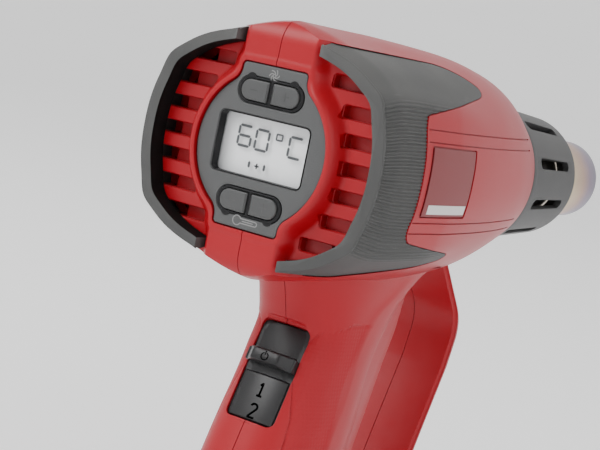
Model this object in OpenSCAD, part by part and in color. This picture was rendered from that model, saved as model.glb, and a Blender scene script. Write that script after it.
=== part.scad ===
// Pistol heat gun with a display panel at the rear and a closed handle.
// Millimetres, +Z up, +Y out of the nozzle, +X to the gun's right.
// The origin is the centre of the nozzle's mouth. Most modules are written from the rear
// panel's face, which from_rear() puts in place.

/* [Overall] */
// Length from the rear panel's face to the nozzle's mouth
gun_len = 250; // [248:1:262]
// Height of the barrel axis above the sole of the foot
axis_height = 163; // [158:1:168]
// Wall thickness of the housing shells
wall = 2.6; // [2:0.1:3.2]

/* [Barrel] */
// Half width of the body at its widest
body_a = 48; // [47:0.5:49]
// Half height of the body at its tallest
body_b = 44; // [43.5:0.5:45]
// Length of the body shells from the panel's face
body_len = 150; // [146:1:152]
// Thickness of the rubber bumpers over the shells
skin = 2.4; // [1.6:0.2:2.6]
// How far the bumpers' rims stand behind the panel's face
rim_back = 2; // [1.5:0.5:3]

/* [Rear panel] */
// Radius of the panel's round middle
panel_r = 25.5; // [25:0.5:26]
// Half width of the panel's upper and lower tabs
tab_half_w = 12.9; // [12.5:0.1:13.4]
// Half height of the panel over its tabs
panel_half_h = 27.3; // [27:0.1:28]
// Width of the display opening
lcd_w = 35.4; // [34:0.2:36]
// Height of the display opening
lcd_h = 19.6; // [18:0.2:20]
// Height of the key pads above and below the display's middle
key_z = 18.4; // [18:0.1:18.8]
// How far a key travels when it is pressed
key_travel = 0.8; // [0.5:0.1:0.8]

/* [Vents] */
// Number of air slots on each side
slot_count = 7; // [5:2:7]
// Distance from slot to slot
slot_pitch = 9; // [8:0.5:9]
// Height of one slot
slot_h = 4.2; // [3:0.1:4.5]

/* [Handle] */
// Lean of the handle and its switch from the vertical, in degrees
lean = 21.5; // [21:0.5:22]
// Half width of the hand guard and the foot
guard_half_w = 19; // [18:0.5:19.5]
// Thickness of the guard's band
guard_t = 3.6; // [3:0.2:4]
// Distance the switch slider moves from one position to the next
switch_step = 8; // [7:0.5:8]

/* [Nozzle and heater] */
// Outer radius of the steel nozzle tube
nozzle_r = 17; // [16.5:0.1:17]
// Thickness of the nozzle tube
nozzle_t = 1; // [0.8:0.1:1.2]
// Radius of the fan over its blade tips
fan_r = 29; // [27:0.5:29]
// Number of fan blades
blade_count = 9; // [7:1:11]
// Turns of the heating coil
coil_turns = 11; // [8:1:12]

/* [Mains inlet] */
// Radius of the hole through the cord gland
gland_bore_r = 4; // [3.5:0.1:4.2]

/* [Hidden] */
$fn = 64;
ring_points = 36;
bend_steps = 8;

// Vent wall, the middle column and the panel's raised surround
vent_y = 5;
vent_t = 3;
body_in_y = vent_y + vent_t;
spine_half_w = 16.5;
lip = 2.6;
lip_back = 1.5;
rim_in_a = 43;
rim_in_b = 38;
corner_swell = 0.024;
flat_depth = 0.062;

// Body sections: distance forward, half width, height above and below the axis, roundness
SECTIONS = [
    [-rim_back, body_a - 0.7, 41.5, 41.5, 2.3],
    [8, body_a, body_b, body_b, 2.4],
    [50, body_a, body_b, body_b + 0.5, 2.4],
    [78, body_a - 2.5, body_b - 0.8, body_b - 1.5, 2.3],
    [110, body_a - 7.5, body_b - 2.8, body_b - 5, 2.2],
    [134, body_a - 12.5, 37.2, 34, 2.1],
    [body_len, 31, 31, 31, 2]
];

// Handle sections: height, rear face, widest place, front face, half width
GRIP = [
    [-30, 31, 76, 90, 23],
    [-44, 32, 72, 87, 22],
    [-53, 35.5, 64, 86.2, 21],
    [-61, 38, 60, 84.6, 20.2],
    [-72, 33.8, 56, 80.6, 20],
    [-97, 23.8, 48, 73.4, 21.4],
    [-125, 13, 40, 64.6, 22],
    [-150, 5, 33, 58, 22],
    [-axis_height + 4, 2.4, 33, 60, 22],
    [-axis_height, 5, 33, 58, 20]
];

// End of a key's stem and the gap that stays over its switch when it is pressed
stem_end_y = 5.2;
press_gap = 0.1;
stem_x = 6.4;

// Where the nozzle tube grows to its full radius, as a seat for accessories
seat_y = 208;
tube_rear_y = 123;

// Middle of the switch window on the rear of the handle
switch_y = 31.6;
switch_z = -77.3;
window_w = 20;
window_h = 36.5;
slider_rest = 4.4;
ridge_h = 5;

// Screws that hold the two shells together: forward, up, and how far their bosses reach sideways
SCREWS = [
    [96, 33, 22], [96, -33, 22], [126, 26, 22], [126, -26, 22],
    [80, -54, 17], [66, -98, 17], [50, -132, 20], [92, -157.6, 17]
];
boss_r = 3.4;

// Top of the foot between the handle and the guard
gap_floor_z = -axis_height + 10;

// Middle of the cord clamp inside the handle
clamp_y = 26;
clamp_z = -143;

// ---------- helpers ----------

function signed_pow(v, e) = sign(v) * pow(abs(v), e);

function mix(a, b, t) = a + (b - a) * t;

// Point on a three-point curve that starts and ends along its outer legs
function bend(a, b, c, t) = mix(mix(a, b, t), mix(b, c, t), t);

function bend_points(a, b, c) = [for (i = [0 : bend_steps]) bend(a, b, c, i / bend_steps)];

// Share from 0 at low to 1 at high, level at both ends
function smooth(low, high, v) =
    let (t = min(max((v - low) / (high - low), 0), 1))
        t * t * (3 - 2 * t);

// Scale that gives the rear of the body its corners and the flats above and below them
function facet(x, y, z) =
    let (
        t = atan2(abs(z), abs(x)),
        flat = smooth(30, 66, t) * smooth(90, 74, t),
        corner = exp(-pow((t - 30) / 6, 2))
    )
        1 + smooth(95, 25, y) * (corner_swell * corner - flat_depth * flat);

// Superellipse ring across the barrel with its facets, drawn in by inset on every side
function body_ring(s, inset) = [
    for (i = [0 : ring_points - 1])
        let (
            t = 360 * i / ring_points,
            e = 2 / s[4],
            x = (s[1] - inset) * signed_pow(cos(t), e),
            z = ((sin(t) > 0 ? s[2] : s[3]) - inset) * signed_pow(sin(t), e),
            f = facet(x, s[0], z)
        )
            [x * f, s[0], z * f]
];

// Ring across the handle: oval behind its widest place and square-shouldered in front of it
function grip_ring(g, inset) = [
    for (i = [0 : ring_points - 1])
        let (
            t = 360 * i / ring_points,
            front = sin(t) > 0,
            e = 2 / (front ? 3.4 : 2.3),
            reach = (front ? g[3] - g[2] : g[2] - g[1]) - inset
        )
            [(g[4] - inset) * signed_pow(cos(t), e), g[2] + reach * signed_pow(sin(t), e), g[0]]
];

// Closed solid through a list of rings with equal numbers of points
module loft(rings) {
    n = len(rings[0]);
    count = len(rings);
    points = [for (r = rings) for (p = r) p];
    sides = [
        for (k = [0 : count - 2])
            for (i = [0 : n - 1])
                let (j = (i + 1) % n)
                    [k * n + i, k * n + j, (k + 1) * n + j, (k + 1) * n + i]
    ];
    start = [for (i = [n - 1 : -1 : 0]) i];
    end = [for (i = [0 : n - 1]) (count - 1) * n + i];
    polyhedron(points = points, faces = concat(sides, [start, end]));
}

// Puts a shape measured from the rear panel's face into the part's own frame
module from_rear() translate([0, -gun_len, 0]) children();

// Turns an XY outline so that it is extruded forward from y0 to y1, with the outline's Y up
module forward(y0, y1) translate([0, y1, 0]) rotate([90, 0, 0]) linear_extrude(y1 - y0) children();

// Turns an outline of forward and up into a slab across the gun, half_w to each side
module across(half_w)
    rotate([90, 0, 90])
        translate([0, 0, -half_w])
            linear_extrude(2 * half_w)
                children();

// Cylinder along the barrel
module round_bar(r, y0, y1) translate([0, y0, 0]) rotate([-90, 0, 0]) cylinder(h = y1 - y0, r = r);

module tube(r_out, r_in, y0, y1)
    difference() {
        round_bar(r_out, y0, y1);
        round_bar(r_in, y0 - 1, y1 + 1);
    }

// Local frame of the switch: -Y out of the handle's rear, +Z up along it
module at_switch() translate([0, switch_y, switch_z]) rotate([-lean, 0, 0]) children();

module rounded_rect(w, h, r)
    union() {
        square([w - 2 * r, h], center = true);
        square([w, h - 2 * r], center = true);
        for (sx = [-1, 1])
            for (sz = [-1, 1])
                translate([sx * (w / 2 - r), sz * (h / 2 - r)]) circle(r);
    }

module half_space(side)
    translate([side > 0 ? 0 : -200, -50, -250]) cube([200, 400, 400]);

// ---------- outlines ----------

// Panel outline: a round middle with a tab above and below, grown by extra
module panel_outline(extra)
    union() {
        circle(panel_r + extra);
        square([2 * (tab_half_w + extra), 2 * (panel_half_h + extra)], center = true);
    }

module key_pad_outline(extra)
    rounded_rect(26 + 2 * extra, 9 + 2 * extra, 4.4 + extra);

// One key: straight along the divider and round at its outer end, grown by extra
module key_outline(side, extra) {
    key_h = 6.9;
    inner_x = 0.8;
    outer_x = 11.4;
    round_r = key_h / 2;
    mirror([side > 0 ? 0 : 1, 0, 0])
        union() {
            translate([inner_x - extra, -round_r - extra])
                square([outer_x - round_r - inner_x + extra, key_h + 2 * extra]);
            translate([outer_x - round_r, 0]) circle(round_r + extra);
        }
}

// Rubber cover of one side, forward and up
module bumper_outline()
    polygon(concat(
        [[-rim_back - 1, 38.4], [58, 38.4]],
        bend_points([70, 36.5], [84, 33], [78, 30]),
        bend_points([42, 25.2], [25, 20.8], [25, 14]),
        [[26.5, 0]],
        bend_points([25, -14], [24, -19], [34, -21]),
        bend_points([60, -24.4], [72, -26.6], [64, -28.2]),
        [[45, -31], [16, -34], [-rim_back - 1, -38.4]]
    ));

// How far forward the guard's straight lower stretch is at a height
function guard_line(z) = 124.5 + (z + 102) * 0.385;

// Front edge of the guard and its corner into the foot, whose face is at height sole
function guard_edge(inset, sole) = concat(
    [[104 - inset, -26], [115.5 - inset, -34]],
    bend_points([132 - inset, -51.5], [138.5 - inset, -58], [137.2 - inset, -66]),
    bend_points([134.6 - inset, -77], [131 - inset, -86], [124.5 - inset, -102]),
    bend_points(
        [guard_line(sole + 16) - inset, sole + 16],
        [guard_line(sole) - inset, sole],
        [guard_line(sole) - inset - 14, sole]
    )
);

// Gap for the fingers between the handle and the guard
module finger_gap_outline()
    polygon(concat(
        guard_edge(guard_t, gap_floor_z),
        bend_points([72, gap_floor_z], [58, gap_floor_z], [60.5, gap_floor_z + 14]),
        [[64.6, -125], [73.4, -97], [80.6, -72], [84.6, -61]],
        bend_points([86.2, -53], [86.4, -45], [92, -38]),
        [[92, -26]]
    ));

// ---------- housing solids ----------

module body_solid(inset) loft([for (s = SECTIONS) body_ring(s, inset)]);

// The shells' own outside, which starts at the vent wall
module body_core(inset, y0)
    intersection() {
        body_solid(inset);
        translate([-100, y0, -100]) cube([200, 400, 200]);
    }

module body_cavity() {
    front = [body_len + 1, 31, 31, 31, 2];
    rear = [body_in_y, body_a, body_b, body_b, 2.4];
    kept = [for (s = SECTIONS) if (s[0] > body_in_y) s];
    loft([for (s = concat([rear], kept, [front])) body_ring(s, wall + skin)]);
}

module grip_solid() loft([for (g = GRIP) grip_ring(g, 0)]);

module grip_cavity() {
    kept = [for (g = GRIP) if (g[0] > -axis_height + 4) g];
    floor_ring = [-axis_height + 5, 4, 33, 60, 22];
    loft([for (g = concat(kept, [floor_ring])) grip_ring(g, wall)]);
}

// Middle column between the bumpers, rounded over at its top and bottom
module spine() {
    r = 7.5;
    end_z = body_b;
    intersection() {
        across(spine_half_w)
            polygon(concat(
                [[14, -end_z]],
                bend_points([r, -end_z], [0, -end_z], [0, -end_z + r]),
                bend_points([0, end_z - r], [0, end_z], [r, end_z]),
                [[14, end_z]]
            ));
        loft([for (y = [-1, 15]) body_ring([y, body_a, body_b, body_b, 2.4], 0)]);
    }
}

// Raised surround of the control panel
module island() forward(-lip_back, body_in_y) panel_outline(lip);

module vent_slots()
    for (i = [0 : slot_count - 1])
        let (z = (i - (slot_count - 1) / 2) * slot_pitch, gap = abs(z) > 22 ? 18.5 : 30 - abs(z) * 0.28)
            for (side = [-1, 1])
                translate([side > 0 ? gap : -gap - 30, vent_y - 1, z - slot_h / 2])
                    cube([30, vent_t + 2, slot_h]);

// Rubber cover of one side, taken a little past the body when it is used as a cutter
module bumper_shape(side, extra)
    difference() {
        intersection() {
            loft([for (s = SECTIONS) body_ring(s, -extra)]);
            translate([side * 60, 0, 0]) across(60) bumper_outline();
        }
        body_core(skin, vent_y);
        loft([for (y = [-rim_back - 2, vent_y]) body_ring([y, rim_in_a, rim_in_b, rim_in_b, 2.3], 0)]);
        translate([-spine_half_w, -10, -60]) cube([2 * spine_half_w, 60, 120]);
    }

module guard_and_foot()
    difference() {
        across(guard_half_w)
            polygon(concat(
                [[78, -26]],
                guard_edge(0, -axis_height),
                [[40, -axis_height], [40, -axis_height + 20], [60, -60]]
            ));
        across(guard_half_w + 1) finger_gap_outline();
        translate([-guard_half_w + wall, 50, -axis_height + wall])
            cube([2 * (guard_half_w - wall), 46, 4.6]);
    }

module switch_window(grow, depth)
    at_switch()
        forward(-12, depth) rounded_rect(window_w + grow, window_h + grow, 2.5);

// Room behind the window's upper and lower edges for the switch plate's tongues
module switch_plate_pocket()
    at_switch() translate([-9.7, 2.6, -21.4]) cube([19.4, 1.8, 42.8]);

module rating_pocket()
    translate([body_a - 1.6, 29, -11.5]) cube([5, 35, 24]);

module screw_bosses()
    for (p = SCREWS)
        translate([-p[2], p[0], p[1]]) rotate([0, 90, 0]) cylinder(h = 2 * p[2], r = boss_r);

module screw_holes() {
    head_x = -9;
    for (p = SCREWS)
        translate([0, p[0], p[1]])
            rotate([0, 90, 0]) {
                translate([0, 0, -60]) cylinder(h = 60 + head_x, r = 3.2);
                translate([0, 0, head_x - 1]) cylinder(h = 1 - head_x, r = 1.8);
                cylinder(h = 11, r = 1.6);
            }
}

// Walls that hold the nozzle tube's flange and the motor's mount
module bulkheads()
    intersection() {
        body_solid(1);
        union() {
            tube(60, nozzle_r + 0.4, 126, 128.5);
            tube(60, 32.4, 50, 52);
        }
    }

// Posts that the cord clamp is screwed to
module clamp_posts()
    for (side = [-1, 1])
        translate([side > 0 ? 4.6 : -20.4, clamp_y + 3.1, clamp_z - 3.5])
            difference() {
                cube([15.8, 8, 7]);
                translate([side > 0 ? 3.4 : 12.4, -1, 3.5]) rotate([-90, 0, 0]) cylinder(h = 7, r = 1.6);
            }

module housing_shell()
    difference() {
        union() {
            difference() {
                union() {
                    body_core(0, vent_y);
                    grip_solid();
                    guard_and_foot();
                    spine();
                    island();
                }
                body_cavity();
                grip_cavity();
            }
            bulkheads();
            screw_bosses();
            clamp_posts();
        }
        forward(-5, 2) panel_outline(0);
        forward(-5, body_in_y + 1) panel_outline(-1.5);
        vent_slots();
        switch_window(0, 8);
        switch_plate_pocket();
        rating_pocket();
        screw_holes();
        round_bar(28.2, 137.8, 146);
        round_bar(27.2, 137.8, body_len + 2);
        translate([0, 24, -axis_height - 3]) cylinder(h = 12, r = 8.2);
        for (side = [-1, 1]) bumper_shape(side, 2);
    }

module housing_half(side)
    from_rear()
        intersection() {
            housing_shell();
            half_space(side);
        }

module left_housing() color([0.78, 0.1, 0.13]) housing_half(-1);

module right_housing() color([0.78, 0.1, 0.13]) housing_half(1);

module left_bumper() color([0.36, 0.37, 0.37]) from_rear() bumper_shape(-1, 0);

module right_bumper() color([0.36, 0.37, 0.37]) from_rear() bumper_shape(1, 0);

module rating_plate()
    color([0.6, 0.08, 0.1])
        from_rear()
            translate([body_a - 1.6, 29.5, -11]) cube([0.6, 34, 23]);

// ---------- rear panel ----------

module control_panel()
    color([0.42, 0.43, 0.43])
        from_rear()
            forward(0, 2)
                difference() {
                    panel_outline(-0.1);
                    rounded_rect(lcd_w + 1.6, lcd_h + 1.6, 2.5);
                    for (side = [-1, 1])
                        translate([0, side * key_z]) key_pad_outline(0);
                }

module lcd_bezel()
    color([0.06, 0.06, 0.07])
        from_rear() {
            forward(0, 2)
                difference() {
                    rounded_rect(lcd_w + 1.5, lcd_h + 1.5, 2.4);
                    rounded_rect(lcd_w, lcd_h, 1.8);
                }
            forward(2, 3.4)
                difference() {
                    rounded_rect(lcd_w + 4, lcd_h + 4, 2.4);
                    rounded_rect(lcd_w, lcd_h, 1.8);
                }
        }

module lcd_window()
    color([0.85, 0.88, 0.88, 0.4])
        from_rear() forward(3.4, 4.4) rounded_rect(lcd_w + 3.6, lcd_h + 3.6, 1.5);

module lcd_module()
    color([0.88, 0.89, 0.88])
        from_rear() forward(4.4, 7) rounded_rect(lcd_w + 3.6, lcd_h + 3.6, 0.8);

// Conductive rubber strips between the display and its board
module lcd_connectors()
    color([0.85, 0.85, 0.8])
        from_rear()
            for (side = [-1, 1])
                forward(7, 8.6) translate([0, side * 9.5]) square([lcd_w, 2], center = true);

module display_pcb()
    color([0.1, 0.35, 0.2])
        from_rear()
            forward(8.6, 10.2)
                union() {
                    circle(panel_r - 2.2);
                    square([22, 50], center = true);
                }

module key_surround(level)
    color([0.05, 0.05, 0.06])
        from_rear()
            forward(-0.2, 2)
                translate([0, level * key_z])
                    difference() {
                        key_pad_outline(-0.05);
                        key_outline(-1, 0.3);
                        key_outline(1, 0.3);
                    }

module fan_key_surround() key_surround(1);

module temp_key_surround() key_surround(-1);

// Key with a retaining flange behind the panel and a stem over its switch
module key(side, level)
    color([0.42, 0.43, 0.43])
        from_rear()
            translate([0, 0, level * key_z]) {
                forward(-0.9, 3.4) key_outline(side, 0);
                forward(2.5, 3.4) key_outline(side, 0.7);
                translate([side * stem_x, 0, 0]) round_bar(1.6, 3.4, stem_end_y);
            }

module fan_minus_key() key(-1, 1);

module fan_plus_key() key(1, 1);

module temp_minus_key() key(-1, -1);

module temp_plus_key() key(1, -1);

module tact_switches()
    color([0.15, 0.15, 0.15])
        from_rear()
            for (side = [-1, 1])
                for (level = [-1, 1])
                    translate([side * stem_x, 0, level * key_z]) {
                        forward(6.6, 8.6) square(6, center = true);
                        round_bar(1.5, stem_end_y + key_travel + press_gap, 6.6);
                    }

// ---------- power switch ----------

module switch_plate()
    color([0.07, 0.07, 0.08])
        from_rear()
            at_switch()
                union() {
                    translate([-7.4, 1, -18]) cube([14.8, 2, 36]);
                    for (end = [-1, 1])
                        translate([-8.4, 1.2, end > 0 ? 15.6 : -18]) cube([16.8, 2.4, 2.4]);
                    for (end = [-1, 1])
                        translate([-9.4, 2.8, end > 0 ? 16.2 : -21]) cube([18.8, 1.4, 4.8]);
                }

module switch_slider()
    color([0.07, 0.07, 0.08])
        from_rear()
            at_switch()
                translate([0, 0, slider_rest]) {
                    across(9.2)
                        polygon(concat(
                            [[0.6, ridge_h / 2 + 1], [-1, ridge_h / 2]],
                            bend_points([-3.4, ridge_h / 2], [-4.6, ridge_h / 2], [-4.6, 1.6]),
                            bend_points([-4.6, -1.6], [-4.6, -ridge_h / 2], [-3.4, -ridge_h / 2]),
                            [[0.6, -ridge_h / 2]]
                        ));
                    for (side = [-1, 1])
                        translate([side > 0 ? 7.8 : -9.2, 0.2, -3]) cube([1.4, 5.2, 6]);
                    translate([-9.2, 3.8, -3]) cube([18.4, 1.6, 6]);
                    translate([-1.2, 5.2, -1.5]) cube([2.4, 5.2, 3]);
                }

// Three-position slide switch with a slot over its actuator
module slide_switch()
    color([0.1, 0.1, 0.11])
        from_rear()
            at_switch()
                difference() {
                    translate([-6.5, 7, -17]) cube([13, 15, 29]);
                    translate([-1.6, 6, slider_rest - 2 * switch_step - 2.4])
                        cube([3.2, 5, 2 * switch_step + 4.8]);
                }

// ---------- hot end ----------

module heat_sleeve()
    color([0.1, 0.1, 0.1])
        from_rear()
            difference() {
                rotate([-90, 0, 0])
                    rotate_extrude()
                        polygon([
                            [24.6, 138], [28, 138], [28, 145.8], [27, 145.8], [27, 150.3],
                            [30.6, 150.3], [30.6, 154], [28.4, 158], [25.4, 204], [24.4, 206],
                            [nozzle_r + 0.4, 206], [nozzle_r + 0.4, 203.6], [23, 203.6], [25.4, 160]
                        ]);
                for (k = [0 : 9])
                    rotate([0, k * 36 + 18, 0])
                        translate([20, 164, -2]) cube([12, 32, 4]);
            }

module nozzle_tube()
    color([0.75, 0.74, 0.72])
        from_rear()
            difference() {
                union() {
                    round_bar(21.5, tube_rear_y, tube_rear_y + 2.6);
                    round_bar(nozzle_r - 0.3, tube_rear_y, seat_y);
                    round_bar(nozzle_r, seat_y, gun_len);
                }
                round_bar(nozzle_r - nozzle_t, tube_rear_y - 1, gun_len + 1);
            }

module mica_tube() color([0.8, 0.72, 0.55]) from_rear() tube(15.7, 15.1, 130, 226);

// Ceramic former with a spoked disc at each end
module heater_core()
    color([0.9, 0.88, 0.84])
        from_rear() {
            round_bar(9.4, 132, 222);
            for (y = [132, 219.5])
                difference() {
                    round_bar(15, y, y + 2.5);
                    for (k = [0 : 5])
                        rotate([0, k * 60 + 30, 0])
                            translate([12.2, y - 1, 0]) round_bar(2, 0, 5);
                }
        }

// Helix of round wire about the barrel axis
module heating_coil() {
    wire_r = 0.8;
    coil_r = 11.2;
    start_y = 137;
    coil_span = 78;
    sides = 6;
    turn_steps = 16;
    steps = coil_turns * turn_steps;
    rings = [
        for (k = [0 : steps])
            let (t = 360 * k / turn_steps, y = start_y + coil_span * k / steps)
                [
                    for (i = [0 : sides - 1])
                        let (a = 360 * i / sides, r = coil_r + wire_r * cos(a))
                            [r * sin(t), y + wire_r * sin(a), r * cos(t)]
                ]
    ];
    color([0.55, 0.5, 0.45]) from_rear() loft(rings);
}

module thermal_fuse()
    color([0.8, 0.8, 0.8])
        from_rear() translate([0, 0, 12]) round_bar(1.8, 222, 232);

module temperature_sensor()
    color([0.7, 0.68, 0.62])
        from_rear()
            translate([0, 0, -11]) {
                round_bar(1, 222, 233);
                translate([0, 233.4, 0]) sphere(1.7);
            }

// Funnel from the fan to the heater
module air_duct()
    color([0.2, 0.2, 0.2])
        from_rear()
            rotate([-90, 0, 0])
                rotate_extrude()
                    polygon([
                        [30.4, 60], [32.2, 60], [32.2, 84], [18.6, 118], [18.6, 122.8],
                        [16.8, 122.8], [16.8, 118], [30.4, 84]
                    ]);

// ---------- motor and fan ----------

module motor_mount()
    color([0.2, 0.2, 0.2])
        from_rear()
            union() {
                tube(32.2, 30.2, 44, 59.8);
                tube(20, 17.6, 44, 50);
                for (k = [0 : 3])
                    rotate([0, k * 90 + 45, 0])
                        translate([18.6, 44, -1.2]) cube([12.6, 6, 2.4]);
            }

module motor_can()
    color([0.7, 0.7, 0.7])
        from_rear()
            difference() {
                round_bar(17.5, 24, 60);
                round_bar(15.6, 23, 56);
                round_bar(1.66, 50, 61);
            }

module motor_end_cap()
    color([0.12, 0.12, 0.13])
        from_rear()
            difference() {
                union() {
                    round_bar(17.5, 21.6, 23.8);
                    round_bar(15.4, 23.8, 27);
                    round_bar(5, 19, 21.6);
                }
                round_bar(1.66, 20.4, 28);
            }

module motor_magnets()
    color([0.25, 0.25, 0.27])
        from_rear()
            for (turn = [0, 180])
                rotate([0, turn, 0])
                    intersection() {
                        tube(15.4, 13.2, 30, 54);
                        translate([3, 20, -20]) cube([30, 60, 40]);
                    }

module motor_rotor()
    color([0.6, 0.4, 0.25])
        from_rear() {
            tube(12.4, 1.6, 31, 52);
            tube(5, 1.6, 27.6, 31);
        }

module motor_shaft() color([0.8, 0.8, 0.82]) from_rear() round_bar(1.6, 21, 80);

module fan_impeller()
    color([0.15, 0.15, 0.16])
        from_rear() {
            difference() {
                round_bar(9, 64, 78);
                round_bar(1.6, 60, 82);
            }
            for (k = [0 : blade_count - 1])
                rotate([0, k * 360 / blade_count, 0])
                    translate([8.5, 71, 0])
                        rotate([35, 0, 0])
                            translate([0, -7, -0.7]) cube([fan_r - 9.4, 14, 1.4]);
        }

// ---------- electronics in the handle ----------

module power_pcb()
    color([0.1, 0.35, 0.2])
        from_rear() at_switch() translate([-13, 27, -50]) cube([26, 1.6, 58]);

module triac_heatsink()
    color([0.78, 0.79, 0.8])
        from_rear()
            at_switch()
                union() {
                    translate([-11, 25, -46]) cube([10.8, 2, 22]);
                    for (k = [0 : 4])
                        translate([-11 + k * 2.4, 17.4, -46]) cube([1.2, 8, 22]);
                }

module filter_capacitor()
    color([0.85, 0.75, 0.2])
        from_rear() at_switch() translate([2.2, 17, -44]) cube([9, 10, 18]);

// ---------- mains inlet ----------

module cord_gland()
    color([0.08, 0.08, 0.08])
        from_rear()
            translate([0, 24, -axis_height])
                difference() {
                    union() {
                        translate([0, 0, -2]) cylinder(h = 2, r = 9.4);
                        translate([0, 0, -2]) cylinder(h = 12, r = 8);
                    }
                    translate([0, 0, -3]) cylinder(h = 14, r = gland_bore_r);
                }

module cord_clamp()
    color([0.2, 0.2, 0.2])
        from_rear()
            translate([0, clamp_y, clamp_z])
                difference() {
                    translate([-12, -1, -3.5]) cube([24, 4, 7]);
                    translate([0, -3, -5]) cylinder(h = 10, r = 3.6);
                    for (side = [-1, 1])
                        translate([side * 8, -2, 0]) rotate([-90, 0, 0]) cylinder(h = 6, r = 1.7);
                }

module clamp_screws()
    color([0.6, 0.6, 0.62])
        from_rear()
            for (side = [-1, 1])
                translate([side * 8, clamp_y, clamp_z]) {
                    round_bar(1.5, -1.4, 8);
                    round_bar(2.8, -3.4, -1.1);
                }

module housing_screws()
    color([0.6, 0.6, 0.62])
        from_rear()
            for (p = SCREWS)
                translate([0, p[0], p[1]])
                    rotate([0, 90, 0]) {
                        translate([0, 0, -11.4]) cylinder(h = 2.4, r = 2.9);
                        translate([0, 0, -9.4]) cylinder(h = 19.4, r = 1.5);
                    }

left_housing();
right_housing();
left_bumper();
right_bumper();
rating_plate();
control_panel();
lcd_bezel();
lcd_window();
lcd_module();
lcd_connectors();
display_pcb();
fan_key_surround();
temp_key_surround();
fan_minus_key();
fan_plus_key();
temp_minus_key();
temp_plus_key();
tact_switches();
switch_plate();
switch_slider();
slide_switch();
heat_sleeve();
nozzle_tube();
mica_tube();
heater_core();
heating_coil();
thermal_fuse();
temperature_sensor();
air_duct();
motor_mount();
motor_can();
motor_end_cap();
motor_magnets();
motor_rotor();
motor_shaft();
fan_impeller();
power_pcb();
triac_heatsink();
filter_capacitor();
cord_gland();
cord_clamp();
clamp_screws();
housing_screws();
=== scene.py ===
"""Heat gun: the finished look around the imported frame.

Pieces are worked out in millimetres, measured forward from the rear panel's face, and
to_frame() puts them into the part's own frame in metres.
"""
import math

import bpy
import numpy as np
from mathutils import Matrix, Vector


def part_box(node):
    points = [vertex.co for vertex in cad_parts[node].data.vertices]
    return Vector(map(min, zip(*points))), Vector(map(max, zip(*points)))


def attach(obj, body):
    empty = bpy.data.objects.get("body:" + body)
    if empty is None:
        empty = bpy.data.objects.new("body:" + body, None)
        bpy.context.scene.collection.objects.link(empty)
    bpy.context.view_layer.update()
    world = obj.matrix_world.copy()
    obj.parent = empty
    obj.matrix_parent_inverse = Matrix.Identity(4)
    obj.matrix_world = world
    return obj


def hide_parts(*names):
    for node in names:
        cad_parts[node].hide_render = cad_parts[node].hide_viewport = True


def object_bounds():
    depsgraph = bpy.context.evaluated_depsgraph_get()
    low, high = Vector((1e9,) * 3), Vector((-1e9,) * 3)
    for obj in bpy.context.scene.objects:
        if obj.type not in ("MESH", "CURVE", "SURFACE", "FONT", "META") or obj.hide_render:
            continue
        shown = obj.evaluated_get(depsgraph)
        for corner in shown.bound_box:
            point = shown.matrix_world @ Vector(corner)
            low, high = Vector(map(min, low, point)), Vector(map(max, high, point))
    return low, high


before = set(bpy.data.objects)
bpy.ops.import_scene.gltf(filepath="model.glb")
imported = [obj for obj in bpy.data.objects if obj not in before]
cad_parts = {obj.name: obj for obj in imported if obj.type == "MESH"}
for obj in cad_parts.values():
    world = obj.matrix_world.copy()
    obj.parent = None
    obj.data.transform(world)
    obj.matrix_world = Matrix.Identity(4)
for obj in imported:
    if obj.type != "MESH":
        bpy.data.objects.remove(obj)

CAD_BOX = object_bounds()
MM = 0.001
REAR_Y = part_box("control_panel")[0].y
SOLE_Z = CAD_BOX[0].z

bl_info = {
    "name": "Heat Gun Finish",
    "version": (1, 0, 0),
    "blender": (4, 5, 0),
    "location": "View3D > Sidebar > Heat Gun",
    "description": "Builds the moulded shells, rubber, display, keys and hot end of a heat gun",
    "category": "Object",
}

# Barrel: forward, half width, height above the axis, height below it, roundness
BARREL = np.array([
    [-2, 47.3, 41.5, 41.5, 2.3],
    [8, 48, 44, 44, 2.4],
    [50, 48, 44, 44.5, 2.4],
    [78, 45.5, 43.2, 42.5, 2.3],
    [110, 40.5, 41.2, 39, 2.2],
    [134, 35.5, 37.2, 34, 2.1],
    [150, 31, 31, 31, 2],
])

# Handle: height, rear face, widest place, front face, half width
HANDLE = np.array([
    [-163, 2.4, 33, 60, 22],
    [-150, 5, 33, 58, 22],
    [-125, 13, 40, 64.6, 22],
    [-97, 23.8, 48, 73.4, 21.4],
    [-72, 33.8, 56, 80.6, 20],
    [-61, 38, 60, 84.6, 20.2],
    [-53, 35.5, 64, 86.2, 21],
    [-44, 32, 72, 87, 22],
    [-28, 26, 76, 92, 23],
])

AXIS_HEIGHT = 163
VENT_Y = 5
SPINE_HALF = 16.5
RIM_IN = (43, 38)
LEAN = math.radians(21.5)
SWITCH_AT = np.array([0, 31.6, -77.3])
SCREWS = [(96, 33), (96, -33), (126, 26), (126, -26), (80, -54), (66, -98), (50, -132), (92, -157.6)]
SEAM_GAP = 0.12


# ---------- shapes as formulas ----------

def to_frame(points):
    """Scale from millimetres to metres and move forward by the panel's place in the frame."""
    return np.asarray(points, float) * MM + (0, REAR_Y, 0)


def signed_power(v, e):
    """The size of v to the power e, with v's sign."""
    return np.sign(v) * np.abs(v) ** e


def smooth_step(low, high, v):
    """Zero below low, one above high, and the cubic 3t^2 - 2t^3 between them."""
    t = np.clip((v - low) / (high - low), 0, 1)
    return t * t * (3 - 2 * t)


def soft_min(a, b, k):
    """The smaller of two fields, rounded where they differ by less than k."""
    h = np.clip(0.5 + 0.5 * (b - a) / k, 0, 1)
    return b + (a - b) * h - k * h * (1 - h)


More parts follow.
